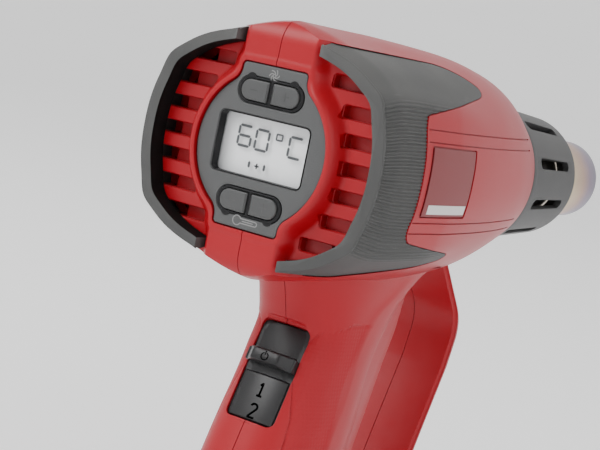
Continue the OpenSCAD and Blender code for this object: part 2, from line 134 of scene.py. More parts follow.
def track(keys, column, at):
    """Cubic curve through one column of a table, with slopes from the neighbours' chords."""
    k, v = keys[:, 0], keys[:, column]
    slope = np.gradient(v, k)
    i = np.clip(np.searchsorted(k, at) - 1, 0, len(k) - 2)
    h = k[i + 1] - k[i]
    t = np.clip((at - k[i]) / h, 0, 1)
    return (
        (2 * t**3 - 3 * t**2 + 1) * v[i] + (t**3 - 2 * t**2 + t) * h * slope[i]
        + (3 * t**2 - 2 * t**3) * v[i + 1] + (t**3 - t**2) * h * slope[i + 1]
    )


def facet(x, y, z):
    """Scale of the barrel's rear: a bell at 30 degrees for the corners, a dip for the flats beyond them."""
    turn = np.degrees(np.arctan2(np.abs(z), np.abs(x)))
    flat = smooth_step(30, 66, turn) * smooth_step(100, 62, turn)
    corner = np.exp(-((turn - 30) / 6) ** 2)
    return 1 + smooth_step(95, 25, np.asarray(y, float)) * (0.024 * corner - 0.062 * flat)


def barrel_point(y, angle, inset=0.0):
    """Superellipse |x/a|^n + |z/b|^n = 1 at distance y, scaled by its facets.

    The half widths a and b and the power n follow the barrel.
    """
    y, angle = np.broadcast_arrays(np.asarray(y, float), angle)
    a, top, bottom = (np.minimum(track(BARREL, c, y), BARREL[:, c].max()) for c in (1, 2, 3))
    n = track(BARREL, 4, y)
    c, s = np.cos(angle), np.sin(angle)
    x = (a - inset) * signed_power(c, 2 / n)
    z = (np.where(s > 0, top, bottom) - inset) * signed_power(s, 2 / n)
    f = facet(x, y, z)
    return np.stack([x * f, y, z * f], -1)


def neck_flare(z):
    """How far the handle swells into the barrel: a quarter ellipse that is zero at the neck."""
    t = np.clip((z + 58) / 25, 0, 1)
    return 1 - np.sqrt(1 - t * t)


def pad_mask(y, z):
    """One inside the side grip pads: ahead of a line down the handle, behind the crease, below the neck."""
    edge = np.interp(z, [-160, -120, -91, -78, -69, -61, -57], [9, 22, 31.4, 33.8, 36.8, 41.4, 52])
    crease = np.interp(z, [-160, -125, -94, -56], [36, 39, 48.6, 61])
    inside = np.minimum(np.minimum(y - edge, crease - y), np.minimum(-57 - z, z + 150) * 1.2)
    return smooth_step(-0.35, 0.35, inside)


def handle_point(z, angle, inset=0.0):
    """Oval behind its widest line and squarer ahead of it, with a crease where the two halves meet."""
    z, angle = np.broadcast_arrays(np.asarray(z, float), angle)
    rear, middle, front, half = (track(HANDLE, c, z) for c in (1, 2, 3, 4))
    flare = neck_flare(z)
    foot = np.clip(-AXIS_HEIGHT + 3 - z, 0, 3)
    inset = inset + 3 - np.sqrt(np.maximum(9 - foot * foot, 0))
    half = half + 9 * flare - inset
    back = middle - rear + 5 * flare - inset
    fore = front - middle + 6 * flare - inset
    c, s = np.cos(angle), np.sin(angle)
    ahead = s > 0
    e = np.where(ahead, 2 / 3.4, 2 / (2.3 + 0.3 * smooth_step(-90, -62, z)))
    y = middle + np.where(ahead, fore, back) * signed_power(s, e)
    x = half * signed_power(c, e)
    return np.stack([x, y, z], -1)


def line_and_bends(*parts, steps=14):
    """A path from points and three-point bends, each bend a quadratic curve along its outer legs."""
    out = []
    for part in parts:
        p = np.array(part, float)
        if p.ndim == 1:
            out.append(p[None])
            continue
        t = np.linspace(0, 1, steps)[:, None]
        out.append((1 - t) ** 2 * p[0] + 2 * t * (1 - t) * p[1] + t * t * p[2])
    return np.concatenate(out)


def rounded_outline(corners, radii, steps=10):
    """Polygon whose corners are arcs: each arc touches both edges at r / tan(half the corner)."""
    corners = np.array(corners, float)
    radii = np.broadcast_to(radii, len(corners))
    out = []
    for i, (p, r) in enumerate(zip(corners, radii)):
        a = corners[i - 1] - p
        b = corners[(i + 1) % len(corners)] - p
        a, b = a / np.linalg.norm(a), b / np.linalg.norm(b)
        half = math.acos(np.clip(a @ b, -1, 1)) / 2
        middle = p + (a + b) / np.linalg.norm(a + b) * r / math.sin(half)
        start = p + a * r / math.tan(half) - middle
        end = p + b * r / math.tan(half) - middle
        t = np.linspace(0, 1, steps)[:, None]
        sweep = math.pi - 2 * half
        arc = (np.sin((1 - t) * sweep) * start + np.sin(t * sweep) * end) / math.sin(sweep)
        out.append(middle + arc)
    return np.concatenate(out)


def rounded_box(w, h, r, at=(0, 0), steps=10):
    """Rectangle outline with arcs of radius r at its corners."""
    corners = np.array([[w, h], [-w, h], [-w, -h], [w, -h]]) / 2 + at
    return rounded_outline(corners, r, steps)


def panel_outline():
    """Circle with a tab above and below, and concave arcs that touch the circle and the tab's side."""
    r, tab, top, fillet = 25.5, 12.9, 27.3, 6.0
    cx, cz = tab + fillet, math.sqrt((r + fillet) ** 2 - (tab + fillet) ** 2)
    turn = math.atan2(cz, cx)
    side = np.linspace(-turn, turn, 60)
    arc = r * np.stack([np.cos(side), np.sin(side)], -1)
    bend = np.linspace(turn + math.pi, math.pi, 14)[1:]
    concave = np.array([cx, cz]) + fillet * np.stack([np.cos(bend), np.sin(bend)], -1)
    corner = np.linspace(0, math.pi / 2, 8)
    tip = np.array([tab - 1.5, top - 1.5]) + 1.5 * np.stack([np.cos(corner), np.sin(corner)], -1)
    upper = np.concatenate([concave, tip])
    right = np.concatenate([(upper * (1, -1))[::-1], arc, upper])
    return np.concatenate([right, (right * (-1, -1))])


def island_distance(x, z):
    """Distance outside the panel's outline: circle and tab fields, joined with a rounded smaller-of."""
    circle = np.hypot(x, z) - 25.5
    dx, dz = np.abs(x) - 12.9, np.abs(z) - 27.3
    tab = np.hypot(np.maximum(dx, 0), np.maximum(dz, 0)) + np.minimum(np.maximum(dx, dz), 0)
    return soft_min(circle, tab, 3.5)


def rear_face(x, z):
    """How far forward the shell's rear face lies: vent plane, raised ring and rounded middle column."""
    d = island_distance(x, z)
    proud = 1.4 * (1 - smooth_step(19, 27, np.abs(z)))
    fall = smooth_step(1.3, 6.6, d)
    ring = -proud + 0.35 * smooth_step(1.0, 0, d) + (VENT_Y + proud) * fall
    roll = np.clip(np.abs(z) - 35, 0, 9) / 9
    column = 8.5 * (1 - np.sqrt(1 - roll**2))
    edge = smooth_step(-2.6, 2.4, np.abs(x) - SPINE_HALF + 0.8)
    column = column + np.maximum(VENT_Y - column, 0) * edge
    return soft_min(ring, column, 1.5)


# ---------- mesh building ----------

def volume_of(points, faces):
    """Signed volume: a third of the sum of each fan triangle's triple product."""
    total = 0.0
    for face in faces:
        p = points[np.asarray(face)]
        a, b, c = p[..., 0, :][..., None, :], p[..., 1:-1, :], p[..., 2:, :]
        total += float(np.sum(np.cross(b - a, c - a) * a))
    return total


def new_piece(name, points, faces):
    """Mesh object from millimetre points and arrays of faces, turned to point outwards."""
    points = to_frame(np.reshape(points, (-1, 3)))
    if volume_of(points - points.mean(0), faces) < 0:
        faces = [np.asarray(f)[..., ::-1] for f in faces]
    rows = [row for f in faces for row in np.atleast_2d(f).tolist()]
    mesh = bpy.data.meshes.new(name)
    mesh.from_pydata(points, [], rows)
    mesh.update()
    piece = bpy.data.objects.new(name, mesh)
    bpy.context.scene.collection.objects.link(piece)
    return piece


def grid_faces(rows, columns):
    """Quads between neighbouring rings of a grid whose columns close on themselves."""
    r, c = np.meshgrid(np.arange(rows - 1), np.arange(columns), indexing="ij")
    d = (c + 1) % columns
    quads = np.stack([r * columns + c, r * columns + d, (r + 1) * columns + d, (r + 1) * columns + c], -1)
    return quads.reshape(-1, 4)


def loft(name, rings):
    """Closed solid through rings of points, with a flat cap on the first and the last."""
    rows, columns = rings.shape[:2]
    caps = [np.arange(columns)[::-1][None], (np.arange(columns) + (rows - 1) * columns)[None]]
    return new_piece(name, rings, [grid_faces(rows, columns), *caps])


def torus_like(name, rings):
    """Closed surface whose last ring joins the first."""
    rows, columns = rings.shape[:2]
    again = np.concatenate([rings, rings[:1]])
    faces = grid_faces(rows + 1, columns) % (rows * columns)
    return new_piece(name, again[:-1], [faces])


def outward(outline):
    """Unit normals of a closed outline, from the chord between each point's neighbours."""
    chord = np.roll(outline, -1, 0) - np.roll(outline, 1, 0)
    area = np.sum(outline[:, 0] * np.roll(outline[:, 1], -1) - outline[:, 1] * np.roll(outline[:, 0], -1))
    normal = np.stack([chord[:, 1], -chord[:, 0]], -1) * (1 if area > 0 else -1)
    return normal / np.maximum(np.linalg.norm(normal, axis=1), 1e-9)[:, None]


def grown(outline, by):
    """Outline moved outwards along its normals."""
    return outline + outward(outline) * by


def plate(name, outline, levels, place):
    """Solid with one outline at several depths: levels are pairs of depth and growth."""
    rings = np.stack([place(grown(outline, by), depth) for depth, by in levels])
    return loft(name, rings)


def facing_rear(outline, depth):
    """Outline of right and up, laid at a distance forward."""
    return np.stack([outline[:, 0], np.full(len(outline), depth), outline[:, 1]], -1)


def facing_side(outline, depth):
    """Outline of forward and up, laid at a distance right."""
    return np.stack([np.full(len(outline), depth), outline[:, 0], outline[:, 1]], -1)


def on_switch(points):
    """From the switch's own frame, tilted back with the handle, to the gun's."""
    points = np.asarray(points, float)
    y = points[..., 1] * math.cos(LEAN) + points[..., 2] * math.sin(LEAN)
    z = -points[..., 1] * math.sin(LEAN) + points[..., 2] * math.cos(LEAN)
    return np.stack([points[..., 0], y, z], -1) + SWITCH_AT


def facing_switch(outline, depth):
    """Outline of right and up in the switch's frame, at a depth into the handle."""
    return on_switch(facing_rear(outline, depth))


def rounded_levels(front, back, r, steps=5):
    """Depths and growths of a plate whose front edge is a quarter round of radius r."""
    turn = np.linspace(0, math.pi / 2, steps)
    edge = [(front + r * (1 - math.sin(t)), -r * (1 - math.cos(t))) for t in turn[::-1]]
    return edge + [(back, 0)]


def both_rounded(half, r, steps=5):
    """Levels of a slab from -half to half with both rims rounded."""
    side = rounded_levels(-half, 0, r, steps)[:-1]
    return side + [(-d, g) for d, g in side[::-1]]


def turned(name, profile, steps=96):
    """Profile of radius and forward distance carried round the barrel's axis."""
    profile = np.array(profile, float)
    angle = np.linspace(0, 2 * math.pi, steps, endpoint=False)
    rings = np.stack([
        np.outer(np.cos(angle), profile[:, 0]),
        np.broadcast_to(profile[:, 1], (steps, len(profile))),
        np.outer(np.sin(angle), profile[:, 0]),
    ], -1)
    return torus_like(name, rings)


def rod(name, start, end, r, steps=32):
    """Cylinder between two points: a circle across the line at both ends."""
    start, end = np.array(start, float), np.array(end, float)
    along = (end - start) / np.linalg.norm(end - start)
    across = np.cross(along, (0, 0, 1) if abs(along[2]) < 0.9 else (1, 0, 0))
    across /= np.linalg.norm(across)
    other = np.cross(along, across)
    angle = np.linspace(0, 2 * math.pi, steps, endpoint=False)[:, None]
    ring = r * (np.cos(angle) * across + np.sin(angle) * other)
    return loft(name, np.stack([start + ring, end + ring]))


def ribbon(name, path, width, front, back, place=facing_rear, closed=False):
    """Flat strip: the path moved half a width to each side, then given a thickness."""
    path = np.array(path, float)
    if closed:
        rings = []
        for depth, by in ((front, width / 2), (back, width / 2), (back, -width / 2), (front, -width / 2)):
            rings.append(place(grown(path, by), depth))
        return torus_like(name, np.stack(rings))
    direction = np.gradient(path, axis=0)
    normal = np.stack([-direction[:, 1], direction[:, 0]], -1)
    normal /= np.linalg.norm(normal, axis=1)[:, None]
    outline = np.concatenate([path + normal * width / 2, (path - normal * width / 2)[::-1]])
    return loft(name, np.stack([place(outline, front), place(outline, back)]))


def settle(piece):
    """Replaces a piece's mesh with its finished one and drops the modifiers."""
    graph = bpy.context.evaluated_depsgraph_get()
    mesh = bpy.data.meshes.new_from_object(piece.evaluated_get(graph))
    piece.modifiers.clear()
    piece.data = mesh
    if not mesh.polygons:
        raise RuntimeError(f"{piece.name} came out empty")
    return piece


def combine(base, others, operation="DIFFERENCE"):
    """Cuts, joins or keeps what is common to closed solids, and removes the tools."""
    for other in others:
        change = base.modifiers.new("combine", "BOOLEAN")
        change.operation = operation
        change.solver = "MANIFOLD"
        change.object = other
    settle(base)
    for other in others:
        bpy.data.objects.remove(other)
    return base


def copy_of(piece):
    """A second object with its own copy of the mesh."""
    twin = piece.copy()
    twin.data = piece.data.copy()
    bpy.context.scene.collection.objects.link(twin)
    return twin


def join(name, parts):
    """One mesh from several, without welding them."""
    with bpy.context.temp_override(
            active_object=parts[0], selected_editable_objects=parts, selected_objects=parts):
        bpy.ops.object.join()
    parts[0].name = name
    return parts[0]


def finish_piece(piece, name, body, material, nodes=(), sharp=32):
    """Names, shades, paints and mounts a finished piece."""
    piece.name = name
    piece.data.name = name
    piece.data.materials.clear()
    piece.data.materials.append(material)
    piece.data.shade_smooth()
    piece.data.set_sharp_from_angle(angle=math.radians(sharp))
    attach(piece, body)
    if nodes:
        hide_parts(*nodes)
    return piece


# ---------- materials ----------

def group_shell(name, inputs, outputs):
    """Empty node group with named sockets and its two end nodes."""
    group = bpy.data.node_groups.new(name, "ShaderNodeTree")
    for socket, kind, value in inputs:
        made = group.interface.new_socket(socket, in_out="INPUT", socket_type=kind)
        if value is not None:
            made.default_value = value
    for socket, kind in outputs:
        group.interface.new_socket(socket, in_out="OUTPUT", socket_type=kind)
    return group, group.nodes.new("NodeGroupInput"), group.nodes.new("NodeGroupOutput")


def node(tree, kind, links=(), **values):
    """Adds a node, sets its properties, then links or sets its inputs by name."""
    made = tree.nodes.new(kind)
    for key, value in values.items():
        setattr(made, key, value)
    for socket, value in dict(links).items():
        if isinstance(value, bpy.types.NodeSocket):
            tree.links.new(value, made.inputs[socket])
        else:
            made.inputs[socket].default_value = value
    return made


def surface_grain():
    """Moulded texture: fine noise for height, and slow noise for a shade that drifts over the part."""
    group, start, end = group_shell(
        "surface_grain",
        [("Vector", "NodeSocketVector", None), ("Grain Scale", "NodeSocketFloat", 1500.0),
         ("Drift Scale", "NodeSocketFloat", 18.0)],
        [("Height", "NodeSocketFloat"), ("Shade", "NodeSocketFloat")],
    )
    vector = start.outputs["Vector"]
    fine = node(group, "ShaderNodeTexNoise",
                {"Vector": vector, "Scale": start.outputs["Grain Scale"], "Detail": 2.0})
    slow = node(group, "ShaderNodeTexNoise",
                {"Vector": vector, "Scale": start.outputs["Drift Scale"], "Detail": 3.0})
    group.links.new(fine.outputs["Fac"], end.inputs["Height"])
    group.links.new(slow.outputs["Fac"], end.inputs["Shade"])
    return group


def edge_wear():
    """Mask of rubbed edges: sharp outer edges, broken up by noise."""
    group, start, end = group_shell(
        "edge_wear",
        [("Vector", "NodeSocketVector", None), ("Amount", "NodeSocketFloat", 0.5)],
        [("Mask", "NodeSocketFloat")],
    )
    shape = node(group, "ShaderNodeNewGeometry")
    edge = node(group, "ShaderNodeMapRange", {
        "Value": shape.outputs["Pointiness"], "From Min": 0.53, "From Max": 0.64})
    patches = node(group, "ShaderNodeTexNoise", {"Vector": start.outputs["Vector"], "Scale": 90.0})
    broken = node(group, "ShaderNodeMapRange", {
        "Value": patches.outputs["Fac"], "From Min": 0.4, "From Max": 0.7})
    both = node(group, "ShaderNodeMath", {0: edge.outputs["Result"], 1: broken.outputs["Result"]},
                operation="MULTIPLY")
    scaled = node(group, "ShaderNodeMath", {0: both.outputs[0], 1: start.outputs["Amount"]},
                  operation="MULTIPLY")
    group.links.new(scaled.outputs[0], end.inputs["Mask"])
    return group


def settled_dust():
    """Mask of dust: patches of noise, stronger where the surface faces up."""
    group, start, end = group_shell(
        "settled_dust",
        [("Vector", "NodeSocketVector", None), ("Amount", "NodeSocketFloat", 0.1)],
        [("Mask", "NodeSocketFloat")],
    )
    shape = node(group, "ShaderNodeNewGeometry")
    facing = node(group, "ShaderNodeSeparateXYZ", {"Vector": shape.outputs["Normal"]})
    up = node(group, "ShaderNodeMapRange", {
        "Value": facing.outputs["Z"], "From Min": -0.2, "From Max": 1.0, "To Min": 0.3})
    patches = node(group, "ShaderNodeTexNoise", {
        "Vector": start.outputs["Vector"], "Scale": 40.0, "Detail": 5.0})
    both = node(group, "ShaderNodeMath", {0: up.outputs["Result"], 1: patches.outputs["Fac"]},
                operation="MULTIPLY")
    scaled = node(group, "ShaderNodeMath", {0: both.outputs[0], 1: start.outputs["Amount"]},
                  operation="MULTIPLY")
    group.links.new(scaled.outputs[0], end.inputs["Mask"])
    return group


GROUPS = {}


def shared_group(builder):
    """The node group that a builder makes, built once."""
    if builder.__name__ not in GROUPS:
        GROUPS[builder.__name__] = builder()
    return GROUPS[builder.__name__]


def blend_colour(tree, mask, a, b, mode="MIX"):
    """Colour between a and b by a mask."""
    mix = tree.nodes.new("ShaderNodeMix")
    mix.data_type = "RGBA"
    mix.blend_type = mode
    sockets = {s.name: s for s in mix.inputs if s.type == "RGBA"}
    for name, value in (("A", a), ("B", b)):
        if isinstance(value, bpy.types.NodeSocket):
            tree.links.new(value, sockets[name])
        else:
            sockets[name].default_value = value
    if isinstance(mask, bpy.types.NodeSocket):
        tree.links.new(mask, mix.inputs[0])
    else:
        mix.inputs[0].default_value = mask
    return next(s for s in mix.outputs if s.type == "RGBA")


def shaded(colour, by):
    """Opaque colour made lighter or darker by a factor."""
    return tuple(min(c * by, 1.0) for c in colour[:3]) + (1.0,)


FINISHES = {}


def finish(name, colour, rough, grain=1500.0, depth=0.15, drift=18.0, vary=0.12, wear=0.3, dust=0.04,
           soften=0.35, extra=None, **fixed):
    """Moulded or machined surface: grain in the height, drift in colour and roughness, wear and dust."""
    if name in FINISHES:
        return FINISHES[name]
    material = bpy.data.materials.new(name)
    material.use_nodes = True
    tree = material.node_tree
    shader = tree.nodes["Principled BSDF"]
    place = node(tree, "ShaderNodeTexCoord").outputs["Object"]
    texture = node(tree, "ShaderNodeGroup", node_tree=shared_group(surface_grain))
    worn = node(tree, "ShaderNodeGroup", node_tree=shared_group(edge_wear))
    dusty = node(tree, "ShaderNodeGroup", node_tree=shared_group(settled_dust))
    for group in (texture, worn, dusty):
        tree.links.new(place, group.inputs["Vector"])
    texture.inputs["Grain Scale"].default_value = grain
    texture.inputs["Drift Scale"].default_value = drift
    worn.inputs["Amount"].default_value = wear
    dusty.inputs["Amount"].default_value = dust
    base = blend_colour(tree, texture.outputs["Shade"], shaded(colour, 1 - vary), shaded(colour, 1 + vary))
    base = blend_colour(tree, worn.outputs["Mask"], base, shaded([c * 0.7 + 0.15 for c in colour[:3]], 1))
    base = blend_colour(tree, dusty.outputs["Mask"], base, (0.6, 0.56, 0.5, 1))
    roughness = node(tree, "ShaderNodeMapRange", {
        "Value": texture.outputs["Shade"], "To Min": rough - 0.05, "To Max": rough + 0.07}).outputs["Result"]
    height = texture.outputs["Height"]
    if extra:
        base, roughness, height = extra(tree, place, base, roughness, height)
    tree.links.new(base, shader.inputs["Base Color"])
    tree.links.new(roughness, shader.inputs["Roughness"])
    bump = node(tree, "ShaderNodeBump", {"Height": height, "Strength": depth, "Distance": 0.0004})
    if soften:
        edges = node(tree, "ShaderNodeBevel", {"Radius": soften * MM}, samples=4)
        tree.links.new(edges.outputs["Normal"], bump.inputs["Normal"])
    tree.links.new(bump.outputs["Normal"], shader.inputs["Normal"])
    for socket, value in fixed.items():
        shader.inputs[socket.replace("_", " ")].default_value = value
    FINISHES[name] = material
    return material


def pad_dots(tree, place, base, roughness, height):
    """Rows of small raised cells where the mesh's pad attribute is one, and a rougher surface there."""
    pad = node(tree, "ShaderNodeAttribute", attribute_name="pad").outputs["Fac"]
    dots = node(tree, "ShaderNodeTexVoronoi", {"Vector": place, "Scale": 720.0, "Randomness": 0.15})
    cell = node(tree, "ShaderNodeMapRange", {
        "Value": dots.outputs["Distance"], "From Min": 0.15, "From Max": 0.6, "To Min": 3.2, "To Max": 0.0})
    raised = node(tree, "ShaderNodeMath", {0: cell.outputs["Result"], 1: pad}, operation="MULTIPLY")
    total = node(tree, "ShaderNodeMath", {0: height, 1: raised.outputs[0]}, operation="ADD")
    rough = node(tree, "ShaderNodeMath", {0: roughness, 1: 0.14}, operation="ADD")
    mixed = node(tree, "ShaderNodeMix", {0: pad, 2: roughness, 3: rough.outputs[0]})
    return base, mixed.outputs[0], total.outputs[0]


def brushed(tree, place, base, roughness, height):
    """Fine turning marks round the barrel axis: noise stretched along the circumference."""
    lines = node(tree, "ShaderNodeMapping", {"Vector": place, "Scale": (8, 2600, 8)})
    noise = node(tree, "ShaderNodeTexNoise", {"Vector": lines.outputs["Vector"], "Scale": 1.0, "Detail": 3.0})
    total = node(tree, "ShaderNodeMath", {0: height, 1: noise.outputs["Fac"]}, operation="ADD")
    streak = node(tree, "ShaderNodeMapRange", {
        "Value": noise.outputs["Fac"], "To Min": 0.22, "To Max": 0.42})
    return base, streak.outputs["Result"], total.outputs[0]


def heat_tint(tree, place, base, roughness, height):
    """Turning marks, and straw, purple and blue bands towards the hot mouth of the tube."""
    base, roughness, height = brushed(tree, place, base, roughness, height)
    along = node(tree, "ShaderNodeSeparateXYZ", {"Vector": place}).outputs["Y"]
    stain = node(tree, "ShaderNodeTexNoise", {"Vector": place, "Scale": 60.0})
    shifted = node(tree, "ShaderNodeMath", {0: stain.outputs["Fac"], 1: 0.012}, operation="MULTIPLY")
    at = node(tree, "ShaderNodeMath", {0: along, 1: shifted.outputs[0]}, operation="ADD")
    share = node(tree, "ShaderNodeMapRange", {"Value": at.outputs[0], "From Min": -0.046, "From Max": 0.008})
    ramp = node(tree, "ShaderNodeValToRGB", {"Fac": share.outputs["Result"]})
    stops = ramp.color_ramp.elements
    stops[0].color = (1, 1, 1, 1)
    stops[1].color = (0.30, 0.34, 0.46, 1)
    for at_share, colour in ((0.45, (0.95, 0.84, 0.62, 1)), (0.7, (0.72, 0.52, 0.45, 1)),
                             (0.85, (0.42, 0.34, 0.48, 1))):
        stops.new(at_share).color = colour
    return blend_colour(tree, 1.0, base, ramp.outputs["Color"], "MULTIPLY"), roughness, height


def display_painted_shade(tree, place, base, roughness, height):
    """Pale display glass with painted shade that darkens it a little towards its left edge."""
    split = node(tree, "ShaderNodeSeparateXYZ", {"Vector": place})
    # Painted shade: a mask strongest at the display's left edge that fades out inwards, mixing grey into the
    # face colour.
    side = node(tree, "ShaderNodeMapRange", {
        "Value": split.outputs["X"], "From Min": -0.018, "From Max": -0.011, "To Min": 0.35, "To Max": 0.0})
    base = blend_colour(tree, side.outputs["Result"], base, (0.35, 0.36, 0.37, 1))
    return base, roughness, height


def make_finish(name):
    """The finish for one of the part's surfaces, by a maker's name for it."""
    look = bpy.context.scene.heat_gun_colours
    red, rubber, grey = tuple(look.shell), tuple(look.rubber), tuple(look.panel)
    black = (0.012, 0.012, 0.013)
    table = {
        "red_shell": lambda: finish(name, red, 0.36, 1700, 0.10, vary=0.07, wear=0.10, dust=0.03,
                                    extra=pad_dots, Specular_IOR_Level=0.3),
        "grey_rubber": lambda: finish(name, rubber, 0.56, 2200, 0.22, vary=0.08, wear=0.25, dust=0.08,
                                      soften=0.25, Specular_IOR_Level=0.3),
        # Painted shade: a darker copy of the rubber, standing in for the shadow on the rim's inner wall.
        "rubber_shadow": lambda: finish(name, shaded(rubber, 0.12), 0.7, 2200, 0.2, dust=0.0, wear=0.0,
                                        Specular_IOR_Level=0.1),
        "panel_grey": lambda: finish(name, grey, 0.5, 2600, 0.3, vary=0.05, wear=0.1, dust=0.03,
                                     soften=0.2),
        "key_grey": lambda: finish(name, shaded(grey, 0.8), 0.46, 2600, 0.25, vary=0.05, soften=0.25),
        "black_trim": lambda: finish(name, black, 0.42, 2000, 0.12, vary=0.15, wear=0.04, dust=0.005,
                                     Specular_IOR_Level=0.15),
        "switch_black": lambda: finish(name, black, 0.3, 2200, 0.14, vary=0.1, wear=0.05,
                                       dust=0.004, soften=0.5, Specular_IOR_Level=0.35),
        "mark_black": lambda: finish(name, shaded(black, 0.1), 0.8, soften=0.0, dust=0.0, wear=0.0,
                                     Specular_IOR_Level=0.0),
        "mark_pale": lambda: finish(name, (0.2, 0.2, 0.2), 0.5, soften=0.0),
        "key_mark": lambda: finish(name, shaded(grey, 0.5), 0.5, soften=0.0),
        "display_face": lambda: finish(name, (0.93, 0.94, 0.95), 0.4, 900, 0.02, vary=0.03, wear=0.0,
                                       dust=0.0, extra=display_painted_shade),
        "display_ink": lambda: finish(name, (0.055, 0.06, 0.065), 0.4, soften=0.0, wear=0.0, dust=0.0),
        "label_red": lambda: finish(name, shaded(red, 0.5), 0.42, 1400, 0.06, vary=0.06, wear=0.1),
        "label_pale": lambda: finish(name, (0.62, 0.6, 0.58), 0.45, 1400, 0.05, vary=0.05),
        "nozzle_steel": lambda: finish(name, (0.62, 0.59, 0.55), 0.3, 1200, 0.12, vary=0.08, wear=0.2,
                                       extra=heat_tint, Metallic=1.0),
        "sleeve_black": lambda: finish(name, (0.022, 0.022, 0.023), 0.5, 1500, 0.3, vary=0.15, wear=0.2),
        "gland_rubber": lambda: finish(name, (0.015, 0.015, 0.015), 0.65, 1800, 0.25),
        "bright_steel": lambda: finish(name, (0.58, 0.58, 0.59), 0.3, extra=brushed, Metallic=1.0),
        "aluminium": lambda: finish(name, (0.75, 0.76, 0.77), 0.35, extra=brushed, Metallic=1.0),
        "magnet": lambda: finish(name, (0.05, 0.05, 0.055), 0.6, 900, 0.3),
        "copper": lambda: finish(name, (0.68, 0.28, 0.12), 0.35, extra=brushed, Metallic=1.0),
        "duct_plastic": lambda: finish(name, (0.03, 0.03, 0.032), 0.5, 1400, 0.2),
        "mica": lambda: finish(name, (0.5, 0.4, 0.24), 0.35, 500, 0.3, drift=120.0, vary=0.25),
        "ceramic": lambda: finish(name, (0.8, 0.76, 0.68), 0.7, 1000, 0.3, vary=0.08),
        "coil_wire": lambda: finish(name, (0.3, 0.26, 0.23), 0.4, 2000, 0.2, vary=0.2, Metallic=1.0),
        "board_green": lambda: finish(name, (0.02, 0.16, 0.06), 0.3, 700, 0.1, drift=90.0, vary=0.2),
        "capacitor": lambda: finish(name, (0.72, 0.5, 0.05), 0.3, 900, 0.05),
        "silicone": lambda: finish(name, (0.62, 0.62, 0.58), 0.6, 1200, 0.1),
    }
    return table[name]()


def clear_cover():
    """Clear display cover: almost see-through, with a soft reflection of its own."""
    material = finish("clear_cover", (0.9, 0.93, 0.94), 0.1, 600, 0.01, wear=0.0, dust=0.0, soften=0.0)
    material.node_tree.nodes["Principled BSDF"].inputs["Alpha"].default_value = 0.06
    return material


INNER_FINISHES = {
    "lcd_connectors": "silicone", "display_pcb": "board_green", "tact_switches": "black_trim",
    "slide_switch": "black_trim", "mica_tube": "mica", "heater_core": "ceramic",
    "heating_coil": "coil_wire", "thermal_fuse": "bright_steel", "temperature_sensor": "bright_steel",
    "air_duct": "duct_plastic", "motor_mount": "duct_plastic", "motor_can": "bright_steel",
    "motor_end_cap": "black_trim", "motor_magnets": "magnet", "motor_rotor": "copper",
    "motor_shaft": "bright_steel", "fan_impeller": "duct_plastic", "power_pcb": "board_green",
    "triac_heatsink": "aluminium", "filter_capacitor": "capacitor", "cord_clamp": "duct_plastic",
    "clamp_screws": "bright_steel", "housing_screws": "bright_steel", "lcd_module": "display_face",
}


# ---------- the shells ----------

def barrel_rings(y, angles, inset):
    """Rings of the barrel surface at several distances."""
    return barrel_point(np.asarray(y)[:, None], angles[None, :], inset)


def even_angles(count):
    """Angles round the barrel, spaced evenly."""
    return np.linspace(0, 2 * math.pi, count, endpoint=False)


def barrel_body():
    """Outer barrel up to its rounded front edge, cut at the rear by the face's height field."""
    y = np.concatenate([np.linspace(-4, 148.5, 96), [149.2, 149.7, 150]])
    inset = np.concatenate([np.zeros(96), [0.2, 0.7, 1.5]])[:, None]
    body = loft("barrel", barrel_rings(y, even_angles(220), inset))
    x = np.linspace(-50, 50, 236)
    rows = np.linspace(-48, 48, 226)
    gx, gz = np.meshgrid(x, rows)
    rear = np.stack([gx, rear_face(gx, gz), gz], -1)
    far = np.array([[50, 170], [-50, 170]], float)
    front = np.stack([np.broadcast_to(far[:, 0], (len(rows), 2)), np.broadcast_to(far[:, 1], (len(rows), 2)),
                      np.repeat(rows[:, None], 2, 1)], -1)
    return combine(body, [loft("rear_field", np.concatenate([rear, front], 1))], "INTERSECT")


def handle_body():
    """Handle on a fine grid, with its pads pressed in and a thin groove round them."""
    z = np.concatenate([np.linspace(-163, -159, 10), np.linspace(-158.4, -33, 190)])
    rings = handle_point(z[:, None], even_angles(260)[None, :])
    x, y, height = rings[..., 0], rings[..., 1], rings[..., 2]
    behind = np.maximum(track(HANDLE, 2, height) - y, 0) * (1 - neck_flare(height))
    crease = 0.2 * behind * np.exp(-behind / 8)
    mask = pad_mask(y, height)
    groove = 4 * mask * (1 - mask)
    rings[..., 0] = x - np.sign(x) * np.minimum(crease + 0.25 * mask + 0.7 * groove, np.abs(x))
    return loft("handle", rings)


def guard_front(inset, sole):
    """Front of the guard from the barrel down to the foot, drawn in by inset, with its sole height."""
    def line(z):
        return 124.5 + (z + 102) * 0.385 - inset
    return [
        (104 - inset, -26), (115.5 - inset, -34),
        [(132 - inset, -51.5), (138.5 - inset, -58), (137.2 - inset, -66)],
        [(134.6 - inset, -77), (131 - inset, -86), (124.5 - inset, -102)],
        [(line(sole + 16), sole + 16), (line(sole), sole), (line(sole) - 14, sole)],
    ]


